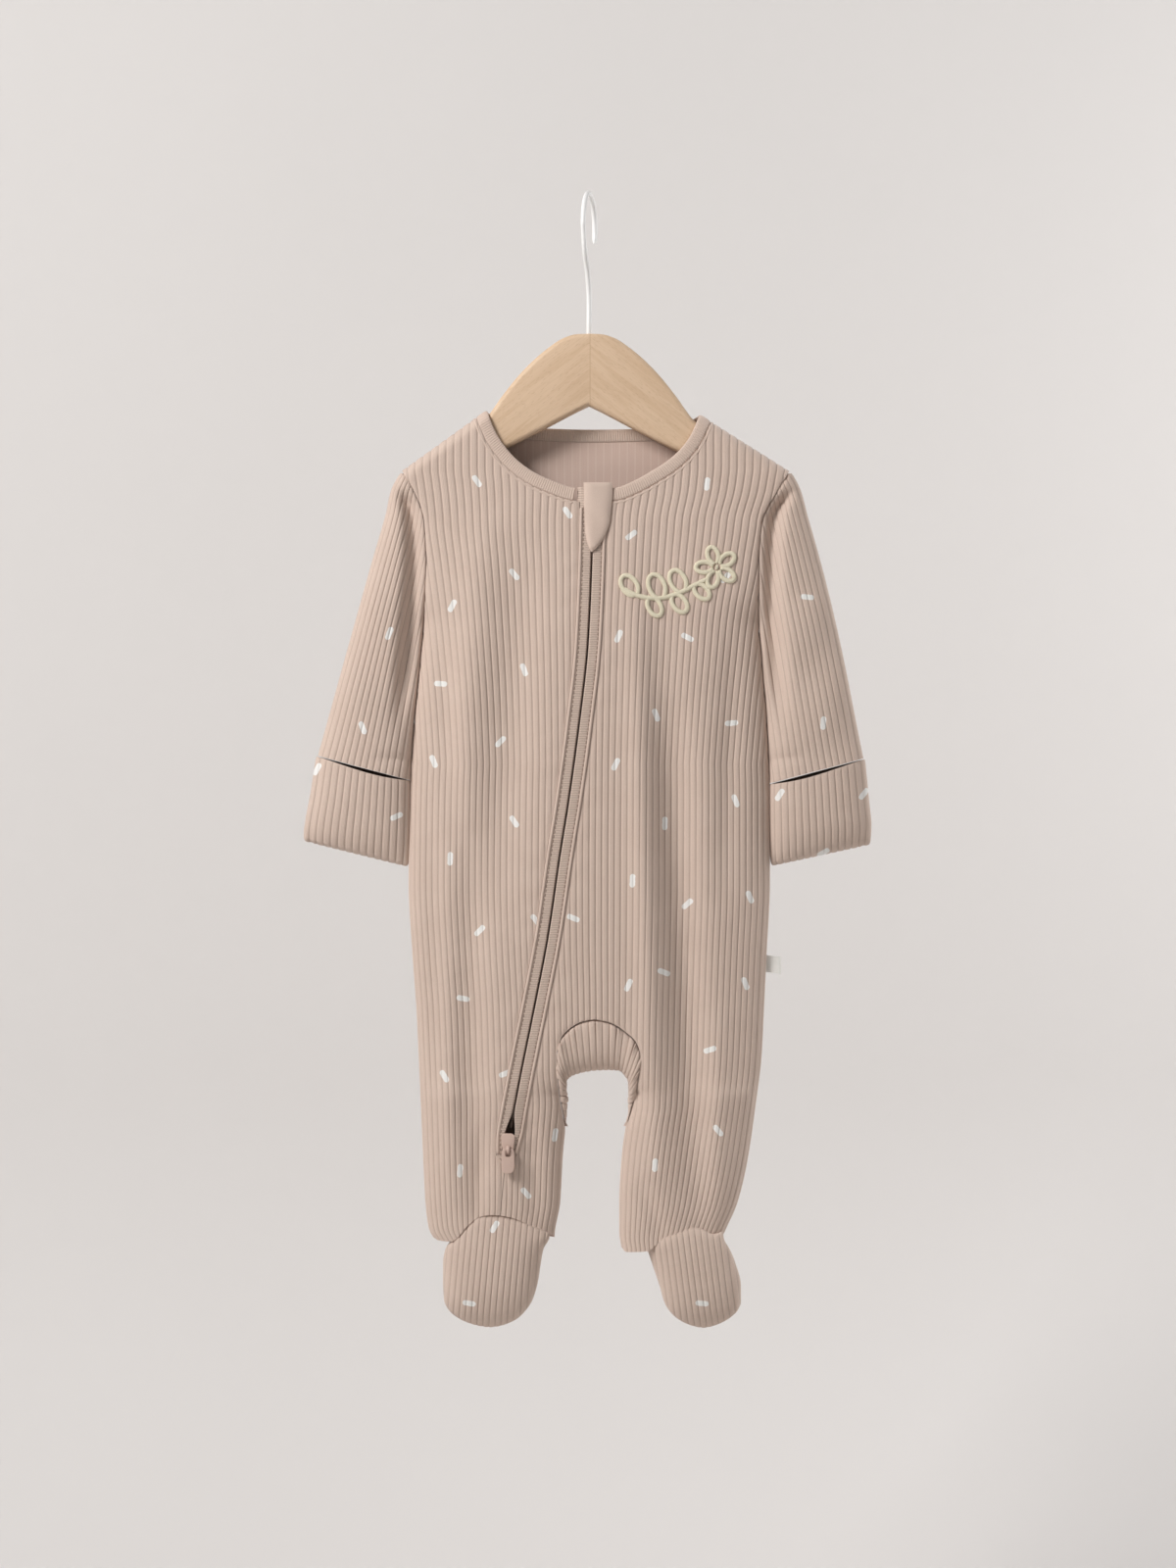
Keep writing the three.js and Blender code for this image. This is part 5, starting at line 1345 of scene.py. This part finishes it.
radial = np.stack([np.cos(turn), np.sin(turn), 0 * turn], -1)
points, faces = ring_tube(pipe(helix, radial, 0.2, 0.2, sides=5))
coil = new_piece("nylon_coil", points, faces, nylon)
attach(coil, "garment")
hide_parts("zip_coil")


# The slider and its pull tab: die-cast and enamelled in the cloth's colour. The tab's top bar
# turns in the slider's bow; the tab is the only piece that moves by itself.

SLIDER_X, SLIDER_TOP = -46.9, -545.6
PLATE_THICKNESS, BOW_INNER, BOW_OUTER, BOW_WIDTH = 1.8, 1.3, 2.3, 1.8
PIVOT_Z = -553.4
slider_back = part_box("zip_slider")[1][1] / MM
pivot_y = slider_back - PLATE_THICKNESS - 1.3

enamel, tree, shader = new_material(
    "Satin enamel", Roughness=0.38, Coat_Weight=0.25, Coat_Roughness=0.3)
where = put_node(tree, "ShaderNodeTexCoord").outputs["Object"]
speck = put_node(tree, "ShaderNodeTexNoise", {"Vector": where, "Scale": 420.0, "Detail": 3.0})
wear_and_groove_shaded = step_between(tree, speck.outputs[0], 0.58, 0.75)
tree.links.new(blend_colour(tree, calc(tree, "MULTIPLY", wear_and_groove_shaded, 0.35), (0.60, 0.44, 0.37, 1),
                            (0.46, 0.33, 0.27, 1)), shader.inputs["Base Color"])
rough = calc(tree, "ADD", calc(tree, "MULTIPLY", speck.outputs[0], 0.25), 0.28)
tree.links.new(rough, shader.inputs["Roughness"])
bump = put_node(tree, "ShaderNodeBump",
                {"Strength": 0.15, "Distance": 0.0001, "Height": speck.outputs[0]})
tree.links.new(bump.outputs[0], shader.inputs["Normal"])


def stacked_plate(outline, hole, y_front, y_back, bevel):
    """A plate on an outline in the XZ plane, with rounded edges, and a hole of as many points.

    Rings of the outline step inwards and outwards on a quarter circle over the bevel; without a
    hole the inner rings shrink to the outline's middle.
    """
    outline = np.array(outline, float)
    middle = outline.mean(0)
    core = np.array(hole, float) if hole is not None else np.repeat(middle[None], len(outline), 0)
    arc = np.linspace(0, np.pi / 2, 5)
    rings = []
    for y_face, sign in ((y_front, 1), (y_back, -1)):
        for a in arc[::sign]:
            towards = unit(middle[None] - outline)
            ring = outline + towards * (bevel - bevel * np.sin(a))
            y = y_face + sign * bevel * (1 - np.cos(a))
            rings.append(np.stack([ring[:, 0], np.full(len(ring), y), ring[:, 1]], -1))
    rings.insert(0, np.stack([core[:, 0], np.full(len(core), y_front), core[:, 1]], -1))
    rings.append(np.stack([core[:, 0], np.full(len(core), y_back), core[:, 1]], -1))
    rings = np.array(rings)
    if hole is not None:
        rings = np.concatenate([rings, rings[:1]])
    number = np.arange(rings.shape[0] * rings.shape[1]).reshape(rings.shape[:2])
    number = np.concatenate([number, number[:, :1]], axis=1)
    return rings.reshape(-1, 3), grid_faces(number)


def dense_loop(corners, per_side=6, rounding=0.35):
    """A closed outline through corners, with each side divided and each corner rounded."""
    corners = np.array(corners, float)
    after = np.roll(corners, -1, axis=0)
    share = np.linspace(rounding / 2, 1 - rounding / 2, per_side)[None, :, None]
    return mix(corners[:, None], after[:, None], share).reshape(-1, 2)


def metal_piece(name, node, body, points, faces):
    """A piece of enamelled metal on its CAD body."""
    piece = new_piece(name, points, faces, enamel, sharp=50)
    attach(piece, body)
    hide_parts(node)
    return piece


plate = [(-4.2, 0), (-2.2, 1.4), (2.2, 1.4), (4.2, 0), (3.0, -8.8), (2.6, -11.8), (-2.6, -11.8),
         (-3.0, -8.8)]
plate = dense_loop([(SLIDER_X + x, SLIDER_TOP + z) for x, z in plate], 5, 0.3)
plate_points, plate_faces = stacked_plate(
    plate, None, slider_back - PLATE_THICKNESS, slider_back, 0.5)
arc = np.linspace(0, np.pi, 25)
bow_radius = (BOW_INNER + BOW_OUTER) / 2
feet = slider_back - PLATE_THICKNESS + 0.4
bow_line = np.concatenate([
    [[SLIDER_X, feet, PIVOT_Z + bow_radius]],
    np.stack([np.full(25, SLIDER_X), pivot_y - bow_radius * np.sin(arc),
              PIVOT_Z + bow_radius * np.cos(arc)], -1),
    [[SLIDER_X, feet, PIVOT_Z - bow_radius]],
])
bow_beside = np.repeat([[1.0, 0, 0]], len(bow_line), 0)
bow_points, bow_faces = ring_tube(pipe(
    bow_line, bow_beside, (BOW_OUTER - BOW_INNER) / 2, BOW_WIDTH / 2, sides=16, power=0.6))
points = np.concatenate([plate_points, bow_points])
faces = np.concatenate([plate_faces, bow_faces + len(plate_points)])
metal_piece("enamelled_slider", "zip_slider", "garment", points, faces)

tab = [(-3.0, 0.6), (3.0, 0.6), (3.7, -2.0), (3.7, -11.6), (2.4, -13.4), (0, -14.0),
       (-2.4, -13.4), (-3.7, -11.6), (-3.7, -2.0)]
window = [(-1.6, -0.6), (1.6, -0.6), (1.6, -1.5), (1.6, -3.6), (0.9, -4.2), (0, -4.2),
          (-0.9, -4.2), (-1.6, -3.6), (-1.6, -1.5)]
tab = dense_loop([(SLIDER_X + x, PIVOT_Z + z) for x, z in tab], 5, 0.3)
window = dense_loop([(SLIDER_X + x, PIVOT_Z + z) for x, z in window], 5, 0.2)
points, faces = stacked_plate(tab, window, pivot_y - 0.65, pivot_y + 0.65, 0.3)
metal_piece("enamelled_pull", "zip_pull", "pull", points, faces)


# The zip guard: a doubled tab of plain smooth jersey, caught in the neck seam and folded over
# the top of the zip, so that it lies on the tapes and comes to a soft point.

GUARD = [
    # Height, left edge, right edge
    (-167.2, -3.2, 13.4), (-172.0, -3.0, 13.6), (-180.0, -2.9, 13.0), (-189.0, -2.6, 12.2),
    (-196.0, -2.2, 10.2), (-201.0, -1.4, 7.6), (-205.0, -0.2, 4.6), (-207.6, 1.2, 1.9),
]
z = mix(-167.2, -207.6, np.sin(np.linspace(0, 1, 40) * np.pi / 2))[:, None]
t = np.linspace(-1, 1, 21)[None]
puff = (1 - abs(t) ** 3.5) * smooth((z + 207.8) / 3.5) * smooth((-166.6 - z) / 1.5)
x = mix(curve(GUARD, 1)(z), curve(GUARD, 2)(z), (t + 1) / 2)
y = -body_depth("front", zip_line(z), z) - 1.5 - 1.6 * puff
y = y - 0.25 * np.sin(z / 4.2 + 2 * t) * puff
base = np.stack([x, y, z + 0 * x], -1)
out = unit(np.cross(np.gradient(base, axis=0), np.gradient(base, axis=1)))
out = out * np.sign(-out[..., 1:2])
points, faces, grid_place = cloth_wall(base, out, np.zeros(x.shape), range(21), thickness=1.0)
layers = {"cloth": np.stack([x[grid_place[:, 0], grid_place[:, 1]], z[grid_place[:, 0], 0]],
                            -1)[faces]}
guard = new_piece("zip_guard_tab", points, faces, plain_cotton, layers, sharp=60)
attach(guard, "garment")
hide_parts("zip_guard")


# The embroidery on the chest: a sprig with a flower, in thick cream satin stitch. Each stroke is
# a raised ribbon of thread that follows the cloth.

satin, tree, shader = new_material(
    "Embroidery thread", Roughness=0.5, Sheen_Weight=0.3, Sheen_Roughness=0.4)
place = put_node(tree, "ShaderNodeUVMap", uv_map="cloth").outputs[0]
parts = put_node(tree, "ShaderNodeSeparateXYZ", {0: place}).outputs
strands = calc(tree, "SINE", calc(tree, "MULTIPLY", calc(
    tree, "ADD", parts[1], calc(tree, "MULTIPLY", parts[0], 0.25)), 15.0))
tint = step_between(tree, strands, -1.0, 0.6)
tree.links.new(blend_colour(tree, tint, (0.88, 0.79, 0.57, 1), (0.98, 0.91, 0.71, 1)),
               shader.inputs["Base Color"])
bump = put_node(tree, "ShaderNodeBump", {"Strength": 0.7, "Distance": 0.0002, "Height": strands})
tree.links.new(bump.outputs[0], shader.inputs["Normal"])


def smooth_path(points, count):
    """Points at equal steps on a smooth line through the given ones."""
    points = np.array(points, float)
    steps = np.linalg.norm(np.diff(points, axis=0), axis=1)
    at = np.concatenate([[0], np.cumsum(steps)])
    fine = loft(points[:, None], at, np.linspace(0, at[-1], 12 * len(points)))[:, 0]
    run = np.concatenate([[0], np.cumsum(np.linalg.norm(np.diff(fine, axis=0), axis=1))])
    want = np.linspace(0, run[-1], count)
    return np.stack([np.interp(want, run, fine[:, k]) for k in range(points.shape[1])], -1)


def petal_path(x, z, size, lean):
    """A closed drop: the radius of a circle pinched at its root, at lean degrees."""
    turn = np.linspace(0, 2 * np.pi, 17)
    along, beside = size * (1 - np.cos(turn)) / 2, 0.32 * size * np.sin(turn)
    lean = np.radians(lean)
    return np.stack([x + along * np.cos(lean) - beside * np.sin(lean),
                     z + along * np.sin(lean) + beside * np.cos(lean)], -1)


STEM = [(18.0, -228.0), (28.0, -233.0), (40.0, -234.5), (52.0, -231.5), (62.0, -226.5),
        (70.0, -222.5)]
strokes = [STEM]
strokes += [petal_path(x, z, size, lean) for x, z, size, lean in (
    (27.0, -232.6, 13.0, 124), (35.0, -234.4, 11.5, -60), (42.0, -234.4, 14.5, 112),
    (49.0, -232.8, 11.5, -54), (54.5, -230.6, 13.5, 116), (61.5, -227.0, 10.5, -44),
)]
strokes += [petal_path(74.0 + 2.6 * np.cos(a), -216.5 + 2.6 * np.sin(a), 9.5, np.degrees(a))
            for a in np.radians([36, 108, 180, 252, 324])]
strokes += [[(73.2, -216.5), (74.8, -216.5)]]
all_points, all_faces, all_layers, placed = [], [], [], 0
for stroke in strokes:
    length = float(np.linalg.norm(np.diff(np.array(stroke), axis=0), axis=1).sum())
    count = max(12, int(length / 0.5))
    flat_line = smooth_path(stroke, count)
    line, out = body_run(flat_line[:, 0], flat_line[:, 1], RIB_HEIGHT + 0.15)
    share = np.linspace(0, 1, count)
    taper = np.sqrt(np.clip(1 - (2 * share - 1) ** 14, 0.04, 1))
    points, faces = ring_tube(pipe(line, out, 1.4 * taper, 1.0 * taper, sides=10))
    run = share * length
    all_layers.append(tube_layers(faces, count, 10, run, 6.0)["cloth"])
    all_points.append(points)
    all_faces.append(faces + placed)
    placed += len(points)
sprig = new_piece("embroidered_sprig", np.concatenate(all_points), np.concatenate(all_faces),
                  satin, {"cloth": np.concatenate(all_layers)})
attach(sprig, "garment")


# The side label: a short length of white woven tape, folded double and held in the side seam.
# It is bare.

label_cloth, tree, shader = new_material(
    "Woven label", Roughness=0.8, Sheen_Weight=0.15, Specular_IOR_Level=0.3)
place = put_node(tree, "ShaderNodeUVMap", uv_map="cloth").outputs[0]
parts = put_node(tree, "ShaderNodeSeparateXYZ", {0: place}).outputs
weft = calc(tree, "SINE", calc(tree, "MULTIPLY", parts[1], 12.0))
warp = calc(tree, "SINE", calc(tree, "MULTIPLY", parts[0], 16.0))
woven = calc(tree, "MULTIPLY", weft, warp)
tint = step_between(tree, woven, -1.0, 1.0)
tree.links.new(blend_colour(tree, tint, (0.88, 0.86, 0.80, 1), (0.96, 0.95, 0.91, 1)),
               shader.inputs["Base Color"])
bump = put_node(tree, "ShaderNodeBump", {"Strength": 0.4, "Distance": 0.0001, "Height": woven})
tree.links.new(bump.outputs[0], shader.inputs["Normal"])
LABEL_X, LABEL_OUT, LABEL_TOP, LABEL_TALL = 103.0, 9.0, -441.5, 9.8
t = np.linspace(0, 1, 41)[:, None]
h = np.linspace(0, 1, 15)[None]
round_end = abs(t - 0.5) * 2
x = LABEL_X + LABEL_OUT * (1 - round_end) - 0.35 * (1 - round_end) ** 8 + 0 * h
swell = 0.42 * np.sin(np.pi * round_end) ** 0.5
y = np.sign(t - 0.5) * (0.12 + swell) * np.minimum(1, abs(t - 0.5) * 12) + 0.5 * (
    (x - LABEL_X) / LABEL_OUT) ** 2 * (0.4 - h)
z = LABEL_TOP - 1.2 * (x - LABEL_X) / LABEL_OUT - LABEL_TALL * h
base = np.stack([x, y, z], -1)
out = unit(np.cross(np.gradient(base, axis=1), np.gradient(base, axis=0)))
points, faces, grid_place = cloth_wall(base, out, np.zeros(x.shape), range(15), thickness=0.22)
run = 18.0 * t[:, 0]
layers = {"cloth": np.stack([run[grid_place[:, 0]], LABEL_TALL * h[0][grid_place[:, 1]]],
                            -1)[faces]}
label = new_piece("woven_side_label", points, faces, label_cloth, layers, sharp=60)
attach(label, "garment")
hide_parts("side_label")


# The hanger: one beech arm, sawn to shape and its edges rounded, carrying the shoulders. The
# grain runs along it, with small dark flecks, and a glued joint stands in the middle.

hanger_top = curve([
    (0, -80.4), (7, -80.7), (14, -82.6), (24.5, -89.3), (38, -101.6), (51, -117.4),
    (56, -124.6), (60, -129.8), (65, -134.0), (71, -137.8), (92, -152.8), (95.5, -156.4),
])
hanger_bottom = curve([
    (0, -122.3), (8, -126.2), (23.4, -134.3), (48.5, -147.2), (70, -157.8), (92, -168.6),
    (95.5, -165.0),
])
beech, tree, shader = new_material("Beech", Roughness=0.55, Specular_IOR_Level=0.35)
where = put_node(tree, "ShaderNodeTexCoord").outputs["Object"]
parts = put_node(tree, "ShaderNodeSeparateXYZ", {0: where}).outputs
sideways = calc(tree, "ABSOLUTE", parts[0])
halves = calc(tree, "MULTIPLY", calc(tree, "GREATER_THAN", parts[0], 0.0006), 3.0)
along = calc(tree, "SUBTRACT", calc(tree, "MULTIPLY", sideways, 0.79),
             calc(tree, "MULTIPLY", parts[2], 0.61))
beside = calc(tree, "ADD", calc(tree, "MULTIPLY", sideways, 0.61),
              calc(tree, "MULTIPLY", parts[2], 0.79))
where = put_node(tree, "ShaderNodeCombineXYZ",
                 {0: calc(tree, "ADD", along, halves), 1: parts[1], 2: beside}).outputs[0]
stretch = put_node(tree, "ShaderNodeMapping", {"Vector": where, "Scale": (14, 120, 190)})
grain = put_node(tree, "ShaderNodeTexNoise",
                 {"Vector": stretch.outputs[0], "Scale": 1.6, "Detail": 5.0, "Distortion": 0.6})
lines = put_node(tree, "ShaderNodeMapping", {"Vector": where, "Scale": (30, 500, 700)})
fine = put_node(tree, "ShaderNodeTexNoise",
                {"Vector": lines.outputs[0], "Scale": 2.0, "Detail": 3.0})
tint = step_between(tree, grain.outputs[0], 0.35, 0.7)
wood = blend_colour(tree, tint, (0.70, 0.515, 0.355, 1), (0.64, 0.455, 0.300, 1))
wood = blend_colour(tree, calc(tree, "MULTIPLY", step_between(tree, fine.outputs[0], 0.45, 0.7),
                               0.22), wood, (0.52, 0.36, 0.23, 1))
cells = put_node(tree, "ShaderNodeMapping", {"Vector": where, "Scale": (220, 900, 1500)})
flecks = put_node(tree, "ShaderNodeTexVoronoi", {"Vector": cells.outputs[0], "Scale": 1.0})
fleck = calc(tree, "SUBTRACT", 1.0, step_between(tree, flecks.outputs[0], 0.12, 0.30))
wood = blend_colour(tree, calc(tree, "MULTIPLY", fleck, 0.4), wood, (0.45, 0.29, 0.18, 1))
from_joint = calc(tree, "ABSOLUTE", calc(tree, "SUBTRACT", parts[0], 0.0006))
joint_line = calc(tree, "SUBTRACT", 1.0, step_between(tree, from_joint, 0.0001, 0.00045))
wood = blend_colour(tree, calc(tree, "MULTIPLY", joint_line, 0.35), wood, (0.42, 0.26, 0.15, 1))
tree.links.new(wood, shader.inputs["Base Color"])
pores = calc(tree, "SUBTRACT", fine.outputs[0], fleck)
bump = put_node(tree, "ShaderNodeBump", {"Strength": 0.25, "Distance": 0.0002, "Height": pores})
tree.links.new(bump.outputs[0], shader.inputs["Normal"])
tree.links.new(calc(tree, "ADD", calc(tree, "MULTIPLY", grain.outputs[0], 0.2), 0.45),
               shader.inputs["Roughness"])

half_x = np.concatenate([np.linspace(0, 92, 120), [93.2, 94.2, 94.9, 95.3, 95.5]])
x = np.concatenate([-half_x[:0:-1], half_x])
top, bottom = hanger_top(abs(x)), hanger_bottom(abs(x))
HALF_THICK, EDGE_ROUND = 7.0, 2.8
quarter = np.linspace(0, np.pi / 2, 7)
corner_y = (HALF_THICK - EDGE_ROUND) + EDGE_ROUND * np.sin(quarter)
corner_z = EDGE_ROUND * (1 - np.cos(quarter))
lean_top = np.hypot(1, np.gradient(top, x))
lean_bottom = np.hypot(1, np.gradient(bottom, x))
tall = (top - bottom) / 2 - 0.05
drop_top = np.minimum(corner_z[None] * lean_top[:, None], tall[:, None])
drop_bottom = np.minimum(corner_z[None] * lean_bottom[:, None], tall[:, None])
side_y = np.concatenate([corner_y, corner_y[::-1]])
side_z = np.concatenate([top[:, None] - drop_top, (bottom[:, None] + drop_bottom)[:, ::-1]], 1)
ring_y = np.concatenate([-side_y, side_y[::-1]])
ring_z = np.concatenate([side_z, side_z[:, ::-1]], axis=1)
narrow = np.where(abs(x) > 92, np.sqrt(np.clip(1 - ((abs(x) - 92) / 3.6) ** 2, 0, 1)), 1.0)
rings = np.stack([np.repeat(x[:, None], ring_z.shape[1], 1),
                  ring_y[None] * mix(0.55, 1, narrow)[:, None], ring_z], -1)
points, faces = ring_tube(rings)
hanger = new_piece("beech_hanger", points, faces, beech, sharp=40)
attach(hanger, "garment")
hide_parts("hanger_wood")


# The hook: one length of white coated steel wire, pushed into a bore in the middle of the arm.
# It rises from the wood, swings forward and bends back over the rail.

WIRE_RADIUS, HOOK_RADIUS = 1.5, 19.5
turned = np.radians(10)
bend = np.pi - np.radians(205) * np.linspace(0, 1, 60)
stem = smooth_path([(0, -95), (0, -75), (-0.2, -56), (-5.2, -44.5), (-14.6, -32.5),
                    (-HOOK_RADIUS, WIRE_RADIUS - HOOK_RADIUS)], 90)[:-1]
crown = np.stack([HOOK_RADIUS * np.cos(bend),
                  WIRE_RADIUS - HOOK_RADIUS + HOOK_RADIUS * np.sin(bend)], -1)
profile = np.concatenate([stem, crown])
line = np.stack([profile[:, 0] * np.sin(turned), profile[:, 0] * np.cos(turned), profile[:, 1]], -1)
beside = np.repeat([[np.cos(turned), -np.sin(turned), 0.0]], len(line), 0)
ends = np.ones(len(line))
ends[-4:] = (0.97, 0.85, 0.6, 0.25)
points, faces = ring_tube(pipe(line, beside, WIRE_RADIUS * ends, WIRE_RADIUS * ends, sides=20))

white_wire, tree, shader = new_material("White coated wire", Coat_Weight=0.4, Coat_Roughness=0.25)
where = put_node(tree, "ShaderNodeTexCoord").outputs["Object"]
speck = put_node(tree, "ShaderNodeTexNoise", {"Vector": where, "Scale": 300.0, "Detail": 3.0})
tree.links.new(blend_colour(tree, speck.outputs[0], (0.84, 0.84, 0.83, 1), (0.90, 0.90, 0.89, 1)),
               shader.inputs["Base Color"])
tree.links.new(calc(tree, "ADD", calc(tree, "MULTIPLY", speck.outputs[0], 0.2), 0.25),
               shader.inputs["Roughness"])
hook = new_piece("wire_hook", points, faces, white_wire, sharp=50)
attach(hook, "garment")
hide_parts("hanger_hook")


# The room: a plain pale sweep of paper behind and below, clear when seen from its back. A soft
# light shines from the upper left in front, one brightens the paper from the right, and one
# lights the back. The camera looks straight at the front.

paper, tree, shader = new_material("Pale paper", Roughness=0.95, Specular_IOR_Level=0.1)
where = put_node(tree, "ShaderNodeTexCoord").outputs["Object"]
speck = put_node(tree, "ShaderNodeTexNoise", {"Vector": where, "Scale": 3.0, "Detail": 3.0})
tree.links.new(blend_colour(tree, speck.outputs[0], (0.69, 0.67, 0.655, 1), (0.71, 0.69, 0.675, 1)),
               shader.inputs["Base Color"])
in_front = put_node(tree, "ShaderNodeNewGeometry").outputs["Backfacing"]
clear = put_node(tree, "ShaderNodeBsdfTransparent").outputs[0]
one_sided = put_node(tree, "ShaderNodeMixShader", {0: in_front, 1: clear, 2: shader.outputs[0]})
tree.links.new(one_sided.outputs[0], tree.nodes["Material Output"].inputs["Surface"])
FLOOR_Z, WALL_Y, SWEEP = -900.0, 700.0, 350.0
turn = np.linspace(0, np.pi / 2, 24)
profile = np.concatenate([
    [[-5000.0, FLOOR_Z]],
    np.stack([WALL_Y - SWEEP + SWEEP * np.sin(turn), FLOOR_Z + SWEEP - SWEEP * np.cos(turn)], -1),
    [[WALL_Y, 2600.0]],
])
x = np.linspace(-5000, 5000, 3)
sweep = np.stack([np.repeat(x[None], len(profile), 0), np.repeat(profile[:, :1], 3, 1),
                  np.repeat(profile[:, 1:], 3, 1)], -1)
number = np.arange(sweep.shape[0] * 3).reshape(-1, 3)
backdrop = new_piece("pale_sweep", sweep.reshape(-1, 3), grid_faces(number)[:, ::-1], paper)


def soft_light(name, place, target, size, power, colour):
    """A square area light at a place in metres that faces a target."""
    light = bpy.data.lights.new(name, "AREA")
    light.size, light.energy, light.color = size, power, colour
    lamp = bpy.data.objects.new(name, light)
    bpy.context.scene.collection.objects.link(lamp)
    towards = np.array(target, float) - np.array(place, float)
    lamp.location = place
    level = np.hypot(towards[0], towards[1])
    lamp.rotation_euler = (np.pi / 2 + np.arctan2(towards[2], level), 0,
                           np.arctan2(-towards[0], towards[1]))
    return lamp


soft_light("key", (-1.3, -1.15, 0.85), (0, 0, -0.3), 0.7, 41, (1.0, 0.985, 0.975))
soft_light("wall_light", (1.3, 0.25, 0.0), (0.35, 0.75, -0.34), 0.8, 10, (1.0, 0.995, 1.0))
soft_light("back_light", (-0.9, 2.6, 1.1), (0, 0, -0.3), 1.4, 40, (1.0, 0.99, 0.98))
world = bpy.data.worlds.new("Soft room")
world.use_nodes = True
tree = world.node_tree
glow = tree.nodes["Background"]
glow.inputs["Color"].default_value = (1.0, 0.99, 0.985, 1)
glow.inputs["Strength"].default_value = 0.25
seen = put_node(tree, "ShaderNodeBackground", {"Color": (0.72, 0.70, 0.685, 1), "Strength": 1.0})
straight = put_node(tree, "ShaderNodeLightPath").outputs["Is Camera Ray"]
either = put_node(tree, "ShaderNodeMixShader", {0: straight, 1: glow.outputs[0],
                                                2: seen.outputs[0]})
tree.links.new(either.outputs[0], tree.nodes["World Output"].inputs["Surface"])
bpy.context.scene.world = world
bpy.context.scene.view_settings.view_transform = "Standard"

CAMERA_DISTANCE = 3.0
camera_data = bpy.data.cameras.new("camera")
camera_data.lens = 39.47 * CAMERA_DISTANCE  # 912 mm of height fill the frame at the garment
camera_data.sensor_width = 36
camera = bpy.data.objects.new("camera", camera_data)
camera.location = (-0.0006, -CAMERA_DISTANCE, -0.342)
camera.rotation_euler = (np.pi / 2, 0, 0)
bpy.context.scene.collection.objects.link(camera)
bpy.context.scene.camera = camera

bpy.context.view_layer.update()
